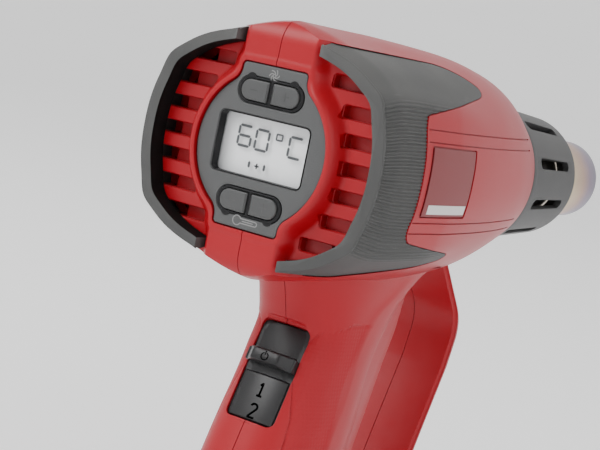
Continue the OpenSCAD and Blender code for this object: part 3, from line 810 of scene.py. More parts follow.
def guard_body():
    """Slab of the guard and foot with rounded rims, less a finger gap whose rims flare."""
    half, r, gap_floor = 19, 1.3, -AXIS_HEIGHT + 10
    outer = line_and_bends(
        (78, -26), *guard_front(0, -AXIS_HEIGHT), (40, -AXIS_HEIGHT), (40, -143), (60, -60))
    gap = line_and_bends(
        *guard_front(3.6, gap_floor),
        [(72, gap_floor), (58, gap_floor), (60.5, gap_floor + 14)],
        (64.6, -125), (73.4, -97), (80.6, -72), (84.6, -61),
        [(86.2, -53), (86.4, -45), (92, -38)], (92, -26),
    )
    slab = plate("guard", outer, both_rounded(half, r), facing_side)
    turn = np.linspace(0, math.pi / 2, 6)
    flare = [(-half - 0.01 + r * math.sin(t), r * math.cos(t)) for t in turn]
    levels = [(-half - 3, r)] + flare + [(-d, g) for d, g in flare[::-1]] + [(half + 3, r)]
    return combine(slab, [plate("finger_gap", gap, levels, facing_side)])


def bumper_outline(grow=0.0):
    """Side cover outline of forward and up: rear rims, an upper and a lower arm, a bay between them."""
    outline = line_and_bends(
        (-4, 38.4), (30, 38.4), (58, 38.4), [(58, 38.4), (72, 38), (84, 33.5)],
        [(84, 33.5), (86.5, 31.5), (78, 30)],
        [(78, 30), (42, 25.2), (25.5, 22)], [(25.5, 22), (24.6, 20), (24.6, 14)], (25.4, 0),
        [(25.4, -12), (24, -19), (30, -21)],
        [(30, -21), (48, -23.4), (66, -25.2)], [(66, -25.2), (71.5, -26.4), (66, -28.2)],
        (45, -31.4), (16, -34.4), (-4, -38.4),
    )
    return grown(outline, grow)


def inner_core(inset, rim_inset=0.0):
    """What a side cover goes round: the rim's opening, the middle column and the red barrel."""
    angles = even_angles(180)
    rim = np.array([[y, RIM_IN[0], RIM_IN[1], RIM_IN[1], 2.3] for y in (-5, VENT_Y + 0.02)])
    c, s = np.cos(angles), np.sin(angles)
    rear = []
    for y, a, b, _, n in rim:
        x, z = (a - rim_inset) * signed_power(c, 2 / n), (b - rim_inset) * signed_power(s, 2 / n)
        f = facet(x, y, z)
        rear.append(np.stack([x * f, np.full(len(angles), y), z * f], -1))
    y = np.linspace(VENT_Y + 0.04, 152, 60)
    core = loft("inner_core", np.concatenate([np.stack(rear), barrel_rings(y, angles, inset)]))
    half = SPINE_HALF - 0.3 if rim_inset else SPINE_HALF
    column = rounded_box(2 * half, 120, 0.5, steps=3)
    return combine(core, [plate("column", column, [(-10, 0), (52, 0)], facing_rear)], "UNION")


def housing():
    """Whole moulding: barrel, handle and guard joined, hollowed and cut for all that fits into it."""
    body = combine(barrel_body(), [handle_body(), guard_body()], "UNION")
    hollow_y = np.linspace(11.5, 151, 60)
    hollow = loft("hollow", barrel_rings(hollow_y, even_angles(120), 5.2))
    grip_z = np.linspace(-157.5, -20, 60)
    grip = loft("grip_hollow", handle_point(grip_z[:, None], even_angles(96)[None, :], 3.2))
    combine(hollow, [grip], "UNION")
    posts = [rod("post", (-60, y, z), (60, y, z), 4.6) for y, z in SCREWS]
    combine(hollow, posts)
    tools = [hollow]
    outline = panel_outline()
    tools.append(plate("panel_seat", grown(outline, 0.3), [(-4, 0), (2.05, 0)], facing_rear))
    tools.append(plate("panel_hole", outline, [(1.9, -1.6), (13, -1.6)], facing_rear))
    tools += slot_tools()
    tools += side_tools()
    window = rounded_box(20.4, 36.9, 2.7)
    edge = [(-14, 1.5), (-2.6, 1.5), (-1.2, 0.7), (-0.2, 0), (9, 0)]
    tools.append(plate("window", window, edge, facing_switch))
    ledge = rounded_box(22.6, 39.2, 3.6)
    tools.append(plate("ledge", ledge, [(-14, 0.5), (-0.4, 0.2), (0.3, -0.5)], facing_switch))
    tools += [rod("screw_hole", (-60, y, z), (-9.2, y, z), 3.2) for y, z in SCREWS]
    tools.append(turned("sleeve_seat", [(20, 137.5), (28.3, 137.5), (28.3, 153), (20, 153)]))
    tools.append(rod("sleeve_bore", (0, 137.5, 0), (0, 153, 0), 21))
    tools.append(rod("inlet", (0, 24, -AXIS_HEIGHT - 4), (0, 24, -150), 8.3))
    return combine(body, tools)


def slot_tools():
    """Air slots on both sides: a shallow bay with a bevelled mouth, then a way through by the rim."""
    tools = []
    bays = {0: (29.2, 38.6), 1: (28.2, 38.2), 2: (25.4, 36.0), 3: (19.6, 29.5)}
    for step in range(-3, 4):
        near, through = bays[abs(step)]
        for side in (-1, 1):
            middle = side * (near + 46) / 2
            bay = rounded_box(46 - near, 4.3, 0.9, (middle, step * 9))
            levels = [(VENT_Y - 3, 0.4), (VENT_Y - 0.02, 0.3), (VENT_Y + 0.3, 0), (VENT_Y + 3.5, 0)]
            tools.append(plate("bay", bay, levels, facing_rear))
            way = rounded_box(46 - through, 4.3, 0.6, (side * (through + 46) / 2, step * 9))
            tools.append(plate("way", way, [(VENT_Y + 2, 0), (14, 0)], facing_rear))
    return tools


def barrel_skin(inset):
    """Barrel drawn in by the inset, which leaves a seat of that depth in its side."""
    return loft("skin", barrel_rings(np.linspace(0, 150, 60), even_angles(160), inset))


def side_tools():
    """Seats of the rubber covers, the label and the fine grooves along each side."""
    tools = []
    for side in (-1, 1):
        seat = plate("seat", bumper_outline(0.22), [(side * 4, 0), (side * 60, 0)], facing_side)
        tools.append(combine(seat, [inner_core(2.35, 0.3)]))
        for z in (17.6, 13.6, -13.4, -17.2):
            groove = rounded_box(110, 0.42, 0.15, (26 + 55, z))
            cut = plate("groove", groove, [(side * 20, 0), (side * 60, 0)], facing_side)
            tools.append(combine(cut, [barrel_skin(0.5)]))
    label = rounded_box(35, 24, 1.0, (46.5, 0.5))
    pocket = plate("label_pocket", label, [(20, 0), (60, 0)], facing_side)
    tools.append(combine(pocket, [barrel_skin(0.8)]))
    return tools


def half_box(side):
    """Box over one side of the gun, starting just off the seam."""
    outline = rounded_box(420, 420, 1.0, (60, -60), 2)
    return plate("half", outline, [(side * SEAM_GAP, 0), (side * 90, 0)], facing_side)


def mark_pads(piece):
    """Stores the pad mask on the mesh, so that the finish can find the pads."""
    count = len(piece.data.vertices)
    places = np.empty(count * 3, np.float32)
    piece.data.vertices.foreach_get("co", places)
    p = (places.reshape(-1, 3) - (0, REAR_Y, 0)) / MM
    mask = pad_mask(p[:, 1], p[:, 2]) * (np.abs(p[:, 0]) > 9) * (p[:, 2] < -56)
    layer = piece.data.attributes.new("pad", "FLOAT", "POINT")
    layer.data.foreach_set("value", mask.astype(np.float32))


def ribbed_cover(side):
    """Rubber cover: barrel surface with fine ribs over its middle, cut to its outline and hollowed."""
    high = np.concatenate([np.linspace(0, 30, 180), np.linspace(30.5, 43.9, 26)])
    up = np.concatenate([np.arcsin((high / 44) ** 1.2), [math.pi / 2]])
    angle = np.concatenate([-up[::-1][:-1], up])
    tall = np.concatenate([-high[::-1], high[1:]])
    tall = np.concatenate([[-44], tall, [44]])
    rib = 0.5 + 0.5 * np.cos(2 * math.pi * tall / 1.1)
    band = smooth_step(27, 24, np.abs(tall + 1))
    y = np.concatenate([[-2, -1.75, -1.2, -0.85, -0.7, -0.4], np.linspace(0.4, 96, 64)])
    rim = np.array([0.35, 0.05, 0.0, 0.1, 0.7, 0.5])
    inset = np.concatenate([rim, 0.45 * smooth_step(80, 20, y[6:])])[:, None]
    ribs = (0.45 * rib - 0.3) * band * smooth_step(-0.7, -0.5, y)[:, None]
    arms = 1 - 0.85 * smooth_step(30, 70, y)[:, None]
    rings = barrel_point(y[:, None], angle[None, :], inset + ribs * arms)
    rings[..., 0] = np.maximum(rings[..., 0], 6) * side
    back = np.concatenate([rings[:, -1:], rings[:, :1]], 1) * (0, 1, 1) + (side * 5, 0, 0)
    cover = loft("cover", np.concatenate([rings, back], 1))
    outline = plate("outline", bumper_outline(), [(side * 4, 0), (side * 60, 0)], facing_side)
    combine(cover, [outline], "INTERSECT")
    return combine(cover, [inner_core(2.2)])


def shade_rim_wall(piece, material):
    """Gives the faces inside the rim's opening a second material: the rubber darkened as painted shade."""
    piece.data.materials.append(material)
    count = len(piece.data.polygons)
    middle = np.empty(count * 3, np.float32)
    piece.data.polygons.foreach_get("center", middle)
    p = (middle.reshape(-1, 3) - (0, REAR_Y, 0)) / MM
    p = p / facet(*p.T)[:, None] ** (1, 0, 1)
    reach = (np.abs(p[:, 0]) / RIM_IN[0]) ** 2.3 + (np.abs(p[:, 2]) / RIM_IN[1]) ** 2.3
    inside = (reach < 1.015) & (p[:, 1] < VENT_Y + 0.2) & (p[:, 1] > -1.95)
    piece.data.polygons.foreach_set("material_index", inside.astype(np.int32))


def label_plate(name, w, h, at, depth):
    """Thin plate that follows the barrel's side: surface points at the plate's place, drawn in by depth."""
    u, v = np.linspace(-1, 1, 24), np.linspace(-1, 1, 12)
    yy, zz = np.meshgrid(at[0] + u * w / 2, at[1] + v * h / 2)
    layers = []
    for inset in (depth, depth + 0.5):
        a, top, n = (track(BARREL, c, yy) for c in (1, 2, 4))
        x = (a - inset) * (1 - (np.abs(zz) / (top - inset)) ** n) ** (1 / n)
        layers.append(np.stack([x, yy, zz], -1))
    rings = []
    for row in range(len(v)):
        rings.append(np.concatenate([layers[0][row], layers[1][row][::-1]]))
    return loft(name, np.stack(rings))


# ---------- rear panel ----------

KEY_Z = 18.4
LCD = (35.4, 19.6)


def key_pad(grow=0.0):
    """Outline of the well that holds two keys."""
    return rounded_box(26 + 2 * grow, 9 + 2 * grow, 4.4 + grow)


def key_shape(side, grow=0.0):
    """One key: square at the divider, half round at its outer end."""
    left, right, half = 0.8 - grow, 11.4 + grow, 3.45 + grow
    corners = [(right, half), (left, half), (left, -half), (right, -half)]
    outline = rounded_outline(corners, [half - 0.05, 0.4, 0.4, half - 0.05], 12)
    return outline * (side, 1)


def control_panel():
    """Panel plate with a rounded rim, openings for the display and for the two key wells."""
    body = plate("panel", grown(panel_outline(), -0.12), rounded_levels(-0.05, 2, 0.45), facing_rear)
    window = rounded_box(LCD[0] + 0.85, LCD[1] + 0.85, 2.1)
    tools = [plate("opening", window, [(-2, 0.4), (0.0, 0.35), (0.4, 0), (3, 0)], facing_rear)]
    for level in (-1, 1):
        well = key_pad(0.1) + (0, level * KEY_Z)
        tools.append(plate("well", well, [(-2, 0.3), (0.0, 0.25), (0.3, 0), (3, 0)], facing_rear))
    return combine(body, tools)


def display_bezel():
    """Black wall of the display opening, rounded at its rear edge."""
    outline = rounded_box(LCD[0] + 0.75, LCD[1] + 0.75, 2.05)
    body = plate("bezel", outline, rounded_levels(0.1, 2.0, 0.15) + [(2.02, 1.2), (3.38, 1.2)], facing_rear)
    inner = rounded_box(LCD[0], LCD[1], 1.8)
    return combine(body, [plate("inner", inner, [(-2, 0.2), (0.3, 0.05), (3.2, 0), (5, 0)], facing_rear)])


def segment_bar(start, end, width=0.9):
    """Six-sided bar from start to end with pointed tips, as a display segment has."""
    start, end = np.array(start, float), np.array(end, float)
    along = (end - start) / np.linalg.norm(end - start)
    across = np.array([-along[1], along[0]]) * width / 2
    tip = along * width / 2
    outline = [start, start + tip + across, end - tip + across, end, end - tip - across, start + tip - across]
    return plate("segment", np.array(outline), [(3.28, 0), (3.38, 0)], facing_rear)


def digit(lit, left, low, w=4.5, h=6.7):
    """Seven-segment figure: a to g run clockwise from the top, with g in the middle."""
    x0, x1, z0, z1, zm = left, left + w, low, low + h, low + h / 2
    gap = 0.12
    places = {
        "a": ((x0 + gap, z1), (x1 - gap, z1)), "b": ((x1, z1 - gap), (x1, zm + gap)),
        "c": ((x1, zm - gap), (x1, z0 + gap)), "d": ((x0 + gap, z0), (x1 - gap, z0)),
        "e": ((x0, zm - gap), (x0, z0 + gap)), "f": ((x0, z1 - gap), (x0, zm + gap)),
        "g": ((x0 + gap, zm), (x1 - gap, zm)),
    }
    return [segment_bar(*places[s]) for s in lit]


def display_figures():
    """Reading of the display: two figures, the degree sign, the unit, and small bars of fan speed."""
    parts = digit("acdefg", -11.5, -0.5, 5.0) + digit("abcdef", -4.5, -0.7, 5.0)
    parts += digit("adef", 8.8, -0.6, 5.0)
    degree = rounded_box(2.3, 1.9, 0.3, (4.6, 4.9))
    parts.append(ribbon("degree", degree, 0.6, 3.28, 3.38, closed=True))
    for x in (-5.2, 0.9):
        parts.append(segment_bar((x, -7.2), (x, -4.9), 0.9))
    parts.append(segment_bar((-3.1, -6.1), (-1.1, -6.1), 0.55))
    parts.append(segment_bar((-2.1, -7.1), (-2.1, -5.1), 0.55))
    return join("figures", parts)


def fan_icon():
    """Six curved blades round a hub: each is an arc from the hub to the tip."""
    parts = []
    for k in range(6):
        t = np.linspace(0, 1, 10)
        turn = k * math.pi / 3 + 1.25 * t
        reach = 0.55 + 1.5 * t
        path = np.stack([reach * np.cos(turn), 24.3 + reach * np.sin(turn)], -1)
        parts.append(ribbon("blade", path, 0.32, -0.1, 0.15))
    rim = np.linspace(0, 2 * math.pi, 40, endpoint=False)[:, None]
    parts.append(ribbon("hub", (0, 24.3) + 0.5 * np.concatenate([np.cos(rim), np.sin(rim)], 1), 0.28,
                        -0.1, 0.15, closed=True))
    return join("fan_icon", parts)


def heat_icon():
    """Thermometer lying on its side: a bulb, a stem with a round tip, and its column."""
    bulb = np.linspace(math.radians(28), math.radians(332), 30)
    left = np.stack([-3.3 + 1.6 * np.cos(bulb), -24.5 + 1.6 * np.sin(bulb)], -1)
    tip = np.linspace(-math.pi / 2, math.pi / 2, 10)
    right = np.stack([4.0 + 0.75 * np.cos(tip), -24.5 + 0.75 * np.sin(tip)], -1)
    outline = np.concatenate([left, right])
    parts = [ribbon("thermometer", outline, 0.36, -0.1, 0.15, closed=True)]
    parts.append(ribbon("column", [(-1.2, -24.5), (1.0, -24.5), (3.2, -24.5)], 0.3, -0.1, 0.15))
    return join("heat_icon", parts)


def key_surround(level):
    """Black frame of a key well, with a bump at both outer corners on the icon's side."""
    body = plate("surround", key_pad(-0.05) + (0, level * KEY_Z), rounded_levels(-0.2, 2, 0.3), facing_rear)
    z = level * (KEY_Z + 3.7)
    bumps = [rod("bump", (side * 8.4, -0.2, z), (side * 8.4, 2, z), 1.9)
             for side in (-1, 1)]
    combine(body, bumps, "UNION")
    holes = [plate("hole", key_shape(side, 0.3) + (0, level * KEY_Z), [(-3, 0), (4, 0)], facing_rear)
             for side in (-1, 1)]
    return combine(body, holes)


def key_piece(side, level):
    """Key cap with a domed rim, over its flange and stem."""
    outline = key_shape(side) + (0, level * KEY_Z)
    cap = plate("key", outline, rounded_levels(-0.88, 2.6, 0.5, 7), facing_rear)
    flange = plate("flange", key_shape(side, 0.6) + (0, level * KEY_Z), [(2.52, 0), (3.38, 0)], facing_rear)
    stem = rod("stem", (side * 6.4, 3.3, level * KEY_Z), (side * 6.4, 5.18, level * KEY_Z), 1.55)
    return combine(cap, [flange, stem], "UNION")


def key_mark(side, level):
    """Minus on the left keys and plus on the right ones."""
    x, z = side * 6.2, level * KEY_Z
    parts = [ribbon("bar", [(x - 1.5, z), (x, z), (x + 1.5, z)], 0.42, -0.93, -0.8)]
    if side > 0:
        parts.append(ribbon("post", [(x, z - 1.5), (x, z), (x, z + 1.5)], 0.42, -0.94, -0.8))
    return join("mark", parts)


# ---------- thumb switch ----------

def crown(x):
    """How much lower the switch's plate is at a distance from its middle: a parabola."""
    return 1.5 * (x / 9.3) ** 2


def switch_base():
    """Fixed plate, crowned across: low above the slider, and raised where the figures are."""
    floor = plate("floor", rounded_box(20.2, 36.7, 2.6), [(3.0, 0), (4.1, 0)], facing_switch)
    x = np.linspace(-9.2, 9.2, 41)
    z = np.array([-18.0, -17.6, -2.1, -1.5, -1.15, -1.0, 6.0, 14.0, 18.0])
    drop = np.array([0.5, 0.0, 0.0, 0.12, 0.5, 1.1, 0.9, 0.75, 1.1])
    top = np.stack([np.broadcast_to(x, (9, 41)), 0.95 + crown(x)[None] + drop[:, None],
                    np.broadcast_to(z[:, None], (9, 41))], -1)
    under = top[:, ::-1] * (1, 0, 1) + (0, 3.9, 0)
    raised = loft("raised", on_switch(np.concatenate([top, under], 1)))
    return combine(floor, [raised], "UNION")


def on_crown(outline, depth):
    """Outline of right and up laid over the crowned plate."""
    flat = facing_rear(outline, depth)
    flat[:, 1] += crown(outline[:, 0])
    return on_switch(flat)


def switch_figures():
    """The figures 1 and 2 on the plate, as strokes of an even width."""
    bow = np.linspace(math.radians(165), math.radians(-40), 14)
    arc = np.stack([0.75 + 1.3 * np.cos(bow), -13.2 + 1.2 * np.sin(bow)], -1)
    strokes = (
        [(-0.2, -5.3), (0.75, -4.4)], [(0.75, -4.2), (0.75, -9.0)], [(-0.3, -9.0), (1.8, -9.0)],
        np.concatenate([arc, [(-0.5, -16.9)]]), [(-0.7, -17.0), (2.2, -17.0)],
    )
    return join("switch_figures",
                [ribbon("stroke", refined(path), 0.75, 0.84, 0.99, on_crown) for path in strokes])


def refined(path, step=0.25):
    """Path with points a step apart, by linear interpolation along its length."""
    path = np.array(path, float)
    run = np.concatenate([[0], np.cumsum(np.hypot(*np.diff(path, axis=0).T))])
    at = np.linspace(0, run[-1], max(int(run[-1] / step), 3))
    return np.stack([np.interp(at, run, path[:, c]) for c in (0, 1)], -1)


def slider():
    """Thumb ridge with sloped ends, and a thin leg at either end that runs beside the plate."""
    x = np.concatenate([[-9.6, -9.5], np.linspace(-9.3, 9.3, 63), [9.5, 9.6]])
    end = np.clip((9.8 - np.abs(x)) / 4.2, 0, 1) - 0.05 * np.exp(-((np.abs(x) - 5.6) / 0.8) ** 2)
    crest = 0.5 - 5.1 * end
    ring = np.array([
        (0.0, 2.9), (0.42, 2.75), (0.8, 2.45), (0.97, 1.95), (1.0, 1.3), (1.0, -1.3), (0.97, -2.0),
        (0.8, -2.45), (0.42, -2.55), (0.0, -2.6)])
    y = 0.7 + (crest[:, None] - 0.7) * ring[None, :, 0]
    z = 4.4 + np.broadcast_to(ring[:, 1], y.shape)
    ridge = loft("ridge", on_switch(np.stack([np.broadcast_to(x[:, None], y.shape), y, z], -1)))
    leg = rounded_box(0.55, 4.6, 0.2, (9.66, 4.4), 3)
    legs = [plate("leg", leg * (side, 1), [(-0.2, 0), (2.8, 0)], facing_switch) for side in (-1, 1)]
    return combine(ridge, legs, "UNION")


def power_mark():
    """Ring with a gap at its top and a short bar through the gap."""
    turn = np.linspace(math.radians(115), math.radians(425), 30)
    arc = np.stack([1.35 * np.cos(turn), 4.1 + 1.35 * np.sin(turn)], -1)
    parts = [ribbon("ring", arc, 0.42, -4.66, -4.5, facing_switch),
             ribbon("bar", [(0, 4.6), (0, 5.2), (0, 6.1)], 0.42, -4.66, -4.5, facing_switch)]
    return join("power_mark", parts)


# ---------- hot end and inlet ----------

def heat_sleeve():
    """Turned guard round the nozzle with a stepped collar, ten long slots and a rounded mouth."""
    body = turned("sleeve", [
        (24.7, 138.1), (27.9, 138.1), (27.9, 150.4), (30.1, 150.4),
        (30.5, 150.8), (30.5, 153.6), (30.2, 154.4),
        (28.6, 156.6), (28.2, 158.2), (25.5, 203.4), (25.0, 205.2), (24.0, 205.9), (17.9, 205.9),
        (17.5, 205.5), (17.5, 203.7), (23.0, 203.7), (25.4, 160)], 120)
    tools = []
    for k in range(10):
        turn = 2 * math.pi * (k + 0.5) / 10
        c, s = math.cos(turn), math.sin(turn)

        def radial(outline, depth):
            flat = np.stack([depth * c - outline[:, 1] * s, outline[:, 0], depth * s + outline[:, 1] * c], -1)
            return flat
        slot = rounded_box(32, 4, 1.9, (180, 0))
        tools.append(plate("slot", slot, [(19, 0), (26.2, 0), (32, 1.2)], radial))
    return combine(body, tools)


def nozzle_tube():
    """Drawn steel tube with a flange, a wider seat for accessories and a rolled mouth."""
    return turned("nozzle", [
        (16.0, 123.1), (21.4, 123.1), (21.4, 125.5), (16.7, 125.5), (16.7, 207.6), (17.0, 208.2),
        (17.0, 248.6), (16.9, 249.5), (16.6, 249.95), (16.3, 249.9), (16.1, 249.3), (16.0, 248.2)], 128)


def cord_gland():
    """Rubber grommet round the inlet, with a rounded flange under the foot."""
    angle = np.linspace(0, 2 * math.pi, 64, endpoint=False)
    profile = np.array([
        (4.0, -1.2), (4.6, -1.9), (8.4, -1.95), (9.2, -1.5),
        (9.35, -0.7), (9.2, -0.05), (7.95, 0), (7.95, 9.9),
        (4.0, 9.9)])
    rings = np.stack([
        np.outer(np.cos(angle), profile[:, 0]), 24 + np.outer(np.sin(angle), profile[:, 0]),
        np.broadcast_to(profile[:, 1] - AXIS_HEIGHT, (64, len(profile)))], -1)
    return torus_like("gland", rings)


# ---------- stage ----------

def soft_floor():
    """Round floor that curves up into a wall: a quarter circle between a disc and a cylinder."""
    turn = np.linspace(0, math.pi / 2, 24)
    r = np.concatenate([[0.001, 1.0], 2.6 + 1.6 * np.sin(turn), [4.2]])
    z = np.concatenate([[0, 0], 1.6 * (1 - np.cos(turn)), [4.5]])
    angle = np.linspace(0, 2 * math.pi, 96, endpoint=False)
    points = np.stack([np.outer(r, np.cos(angle)), np.outer(r, np.sin(angle)),
                       np.broadcast_to((z + SOLE_Z - 0.0005)[:, None], (len(r), 96))], -1).reshape(-1, 3)
    mesh = bpy.data.meshes.new("floor")
    mesh.from_pydata(points, [], grid_faces(len(r), 96)[:, ::-1].tolist())
    mesh.shade_smooth()
    floor = bpy.data.objects.new("floor", mesh)
    bpy.context.scene.collection.objects.link(floor)
    return floor


def add_light(name, at, size, power, aim=(0, -0.19, -0.04)):
    """Soft square light that faces the gun."""
    data = bpy.data.lights.new(name, "AREA")
    data.shape, data.size, data.energy = "SQUARE", size, power
    light = bpy.data.objects.new(name, data)
    light.location = at
    light.rotation_euler = (Vector(aim) - Vector(at)).to_track_quat("-Z", "Y").to_euler()
    bpy.context.scene.collection.objects.link(light)
    return light


def add_camera():
    """Camera behind the gun's right shoulder, rolled so that the gun leans to the right."""
    data = bpy.data.cameras.new("camera")
    data.sensor_width, data.lens = 36, 96.6
    camera = bpy.data.objects.new("camera", data)
    azimuth, elevation, roll = (math.radians(v) for v in (31.6, 6.4, 11.7))
    back = Vector((math.sin(azimuth) * math.cos(elevation), -math.cos(azimuth) * math.cos(elevation),
                   math.sin(elevation)))
    level = Vector((0, 0, 1)).cross(back).normalized()
    upright = back.cross(level)
    right = level * math.cos(roll) + upright * math.sin(roll)
    up = upright * math.cos(roll) - level * math.sin(roll)
    turn = Matrix((right, up, back)).transposed().to_4x4()
    camera.matrix_world = Matrix.Translation((0.29043, -0.68788, 0.03716)) @ turn
    bpy.context.scene.collection.objects.link(camera)
    bpy.context.scene.camera = camera


def add_world(strength):
    """Even pale surroundings."""
    world = bpy.data.worlds.new("studio")
    world.use_nodes = True
    world.node_tree.nodes["Background"].inputs["Color"].default_value = (1, 1, 1, 1)
    world.node_tree.nodes["Background"].inputs["Strength"].default_value = strength
    bpy.context.scene.world = world


def floor_finish():
    """Pale studio floor with a very slow drift in shade."""
    material = bpy.data.materials.new("studio_floor")
    material.use_nodes = True
    tree = material.node_tree
    place = node(tree, "ShaderNodeTexCoord").outputs["Object"]
    drift = node(tree, "ShaderNodeTexNoise", {"Vector": place, "Scale": 1.5})
    colour = blend_colour(tree, drift.outputs["Fac"], (0.86, 0.86, 0.86, 1), (0.9, 0.9, 0.9, 1))
    shader = tree.nodes["Principled BSDF"]
    tree.links.new(colour, shader.inputs["Base Color"])
    shader.inputs["Roughness"].default_value = 0.9
    tree.links.new(colour, shader.inputs["Emission Color"])
    shader.inputs["Emission Strength"].default_value = 0.3
    return material


# ---------- settings, operators and panel ----------

class HeatGunColours(bpy.types.PropertyGroup):
    """Colours of the main finishes."""
    shell: bpy.props.FloatVectorProperty(
        name="Shell", description="Colour of the moulded shells", subtype="COLOR", size=3,
        default=(0.34, 0.0006, 0.008), min=0, max=1)
    rubber: bpy.props.FloatVectorProperty(
        name="Rubber", description="Colour of the side covers", subtype="COLOR", size=3,
        default=(0.052, 0.053, 0.053), min=0, max=1)
    panel: bpy.props.FloatVectorProperty(
        name="Panel", description="Colour of the rear panel", subtype="COLOR", size=3,
        default=(0.062, 0.064, 0.065), min=0, max=1)


class HeatGunStudio(bpy.types.PropertyGroup):
    """Light of the stage."""
    ambient: bpy.props.FloatProperty(
        name="Ambient", description="Strength of the even light", default=0.55, min=0, max=3)
    key_power: bpy.props.FloatProperty(
        name="Key light", description="Power of the main light", default=36, min=0, max=200, subtype="POWER",
        unit="POWER")
    fill_power: bpy.props.FloatProperty(
        name="Fill light", description="Power of the light on the right", default=6, min=0, max=200,
        subtype="POWER", unit="POWER")


class HeatGunOperator:
    """What the operators share: one undo step each."""
    bl_options = {"REGISTER", "UNDO"}


class HEATGUN_OT_shells(HeatGunOperator, bpy.types.Operator):
    """Build the left and right shells of the housing"""
    bl_idname = "heat_gun.shells"
    bl_label = "Housing Shells"

    def execute(self, context):
        whole = housing()
        for side, name in ((-1, "left_housing"), (1, "right_housing")):
            half = combine(copy_of(whole), [half_box(side)], "INTERSECT")
            mark_pads(half)
            finish_piece(half, name + "_shell", "gun", make_finish("red_shell"), [name], 38)
        bpy.data.objects.remove(whole)
        return {"FINISHED"}


class HEATGUN_OT_covers(HeatGunOperator, bpy.types.Operator):
    """Build the ribbed rubber covers of both sides"""
    bl_idname = "heat_gun.covers"
    bl_label = "Rubber Covers"

    def execute(self, context):
        for side, name in ((-1, "left_bumper"), (1, "right_bumper")):
            cover = finish_piece(ribbed_cover(side), name + "_cover", "gun",
                                 make_finish("grey_rubber"), [name], 50)
            # The faces inside the rim get the painted-shade rubber.
            shade_rim_wall(cover, make_finish("rubber_shadow"))
        return {"FINISHED"}


class HEATGUN_OT_label(HeatGunOperator, bpy.types.Operator):
    """Build the blank label on the right side"""
    bl_idname = "heat_gun.label"
    bl_label = "Blank Label"

    def execute(self, context):
        plate_piece = label_plate("label", 34, 23, (46.5, 0.5), 0.22)
        finish_piece(
            plate_piece, "label_plate", "gun", make_finish("label_red"), ["rating_plate"])
        strip = label_plate("strip", 30, 3.2, (47.5, -8.6), 0.14)
        finish_piece(strip, "label_strip", "gun", make_finish("label_pale"))
        return {"FINISHED"}


class HEATGUN_OT_panel(HeatGunOperator, bpy.types.Operator):
    """Build the rear panel and its two icons"""
    bl_idname = "heat_gun.rear_panel"
    bl_label = "Rear Panel"

    def execute(self, context):
        finish_piece(control_panel(), "rear_panel", "gun", make_finish("panel_grey"),
                     ["control_panel"])
        for icon, name in ((fan_icon(), "fan_symbol"), (heat_icon(), "heat_symbol")):
            finish_piece(icon, name, "gun", make_finish("mark_pale"))
        return {"FINISHED"}


class HEATGUN_OT_display(HeatGunOperator, bpy.types.Operator):
    """Build the display's bezel and figures and clear its cover"""
    bl_idname = "heat_gun.display"
    bl_label = "Display"

    def execute(self, context):
        finish_piece(display_bezel(), "display_bezel", "gun", make_finish("black_trim"),
                     ["lcd_bezel"])
        finish_piece(display_figures(), "display_figures", "gun", make_finish("display_ink"))
        paint_node("lcd_window", clear_cover())
        return {"FINISHED"}


class HEATGUN_OT_keys(HeatGunOperator, bpy.types.Operator):
    """Build the key wells, the four keys and their marks"""
    bl_idname = "heat_gun.keys"
    bl_label = "Keys"

    def execute(self, context):
        for level, what in ((1, "fan"), (-1, "temp")):
            finish_piece(key_surround(level), what + "_key_well", "gun",
                         make_finish("black_trim"), [what + "_key_surround"])
            for side, sign in ((-1, "minus"), (1, "plus")):
                body = f"{what}_{sign}_key"
                finish_piece(key_piece(side, level), body + "_cap", body,
                             make_finish("key_grey"), [body])
                finish_piece(key_mark(side, level), body + "_mark", body,
                             make_finish("key_mark"))
        return {"FINISHED"}


class HEATGUN_OT_switch(HeatGunOperator, bpy.types.Operator):
    """Build the switch's plate, slider and marks"""
    bl_idname = "heat_gun.thumb_switch"
    bl_label = "Thumb Switch"

    def execute(self, context):
        finish_piece(switch_base(), "switch_base", "gun", make_finish("switch_black"),
                     ["switch_plate"])
        finish_piece(switch_figures(), "switch_figures", "gun", make_finish("mark_black"))
        finish_piece(slider(), "switch_thumb_slider", "switch_slider",
                     make_finish("switch_black"), ["switch_slider"])
        finish_piece(power_mark(), "power_mark", "switch_slider", make_finish("mark_black"))
        return {"FINISHED"}


class HEATGUN_OT_hot_end(HeatGunOperator, bpy.types.Operator):
    """Build the nozzle tube, its slotted sleeve and the mains inlet's grommet"""
    bl_idname = "heat_gun.hot_end"
    bl_label = "Hot End and Inlet"

    def execute(self, context):
        finish_piece(heat_sleeve(), "sleeve", "gun", make_finish("sleeve_black"),
                     ["heat_sleeve"])
        finish_piece(nozzle_tube(), "nozzle", "gun", make_finish("nozzle_steel"),
                     ["nozzle_tube"])
        finish_piece(cord_gland(), "gland", "gun", make_finish("gland_rubber"),
                     ["cord_gland"])
        return {"FINISHED"}


def paint_node(name, material):
    """Gives a node of the frame its finish."""
    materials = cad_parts[name].data.materials
    if not len(materials):
        materials.append(material)
    for i in range(len(materials)):
        materials[i] = material


class HEATGUN_OT_inner(HeatGunOperator, bpy.types.Operator):
    """Paint the motor, fan, heater, boards and fasteners"""
    bl_idname = "heat_gun.inner"
    bl_label = "Inner Parts"

    def execute(self, context):
        for name, look in INNER_FINISHES.items():
            paint_node(name, make_finish(look))
        return {"FINISHED"}


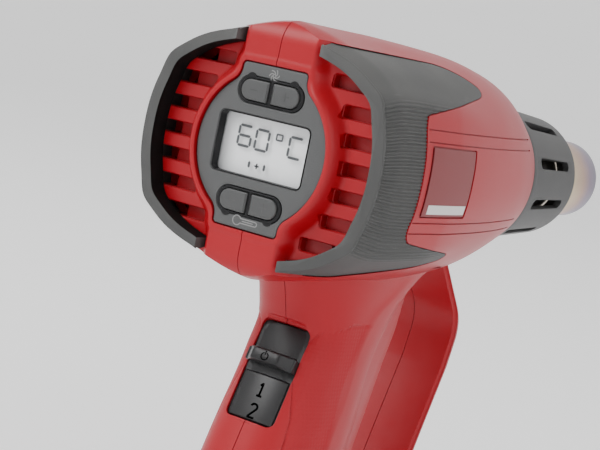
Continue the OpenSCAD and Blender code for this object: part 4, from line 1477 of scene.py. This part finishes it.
class HEATGUN_OT_stage(HeatGunOperator, bpy.types.Operator):
    """Set the floor, the lights and the camera"""
    bl_idname = "heat_gun.stage"
    bl_label = "Stage"

    def execute(self, context):
        studio = context.scene.heat_gun_studio
        floor = soft_floor()
        floor.data.materials.append(floor_finish())
        add_world(studio.ambient)
        add_light("key_light", (-0.9, -1.5, 1.5), 1.2, studio.key_power)
        add_light("fill_light", (1.7, -0.7, 0.7), 1.4, studio.fill_power)
        add_light("top_light", (0.1, 0.4, 1.8), 1.0, studio.fill_power)
        add_camera()
        return {"FINISHED"}


OPERATORS = (
    HEATGUN_OT_stage, HEATGUN_OT_shells, HEATGUN_OT_covers, HEATGUN_OT_label, HEATGUN_OT_panel,
    HEATGUN_OT_display, HEATGUN_OT_keys, HEATGUN_OT_switch, HEATGUN_OT_hot_end, HEATGUN_OT_inner,
)


class HEATGUN_PT_panel(bpy.types.Panel):
    """Lists the colours, the light and the pieces"""
    bl_idname = "HEATGUN_PT_panel"
    bl_label = "Heat Gun"
    bl_space_type = "VIEW_3D"
    bl_region_type = "UI"
    bl_category = "Heat Gun"

    def draw(self, context):
        for settings in (context.scene.heat_gun_colours, context.scene.heat_gun_studio):
            for name in settings.bl_rna.properties.keys():
                if name not in ("rna_type", "name"):
                    self.layout.prop(settings, name)
        for operator in OPERATORS:
            self.layout.operator(operator.bl_idname)


CLASSES = (HeatGunColours, HeatGunStudio, *OPERATORS, HEATGUN_PT_panel)


def register():
    for cls in CLASSES:
        bpy.utils.register_class(cls)
    bpy.types.Scene.heat_gun_colours = bpy.props.PointerProperty(type=HeatGunColours)
    bpy.types.Scene.heat_gun_studio = bpy.props.PointerProperty(type=HeatGunStudio)


def unregister():
    del bpy.types.Scene.heat_gun_colours
    del bpy.types.Scene.heat_gun_studio
    for cls in reversed(CLASSES):
        bpy.utils.unregister_class(cls)


def main():
    register()
    for operator in OPERATORS:
        group, name = operator.bl_idname.split(".")
        getattr(getattr(bpy.ops, group), name)()


if __name__ == "__main__":
    main()
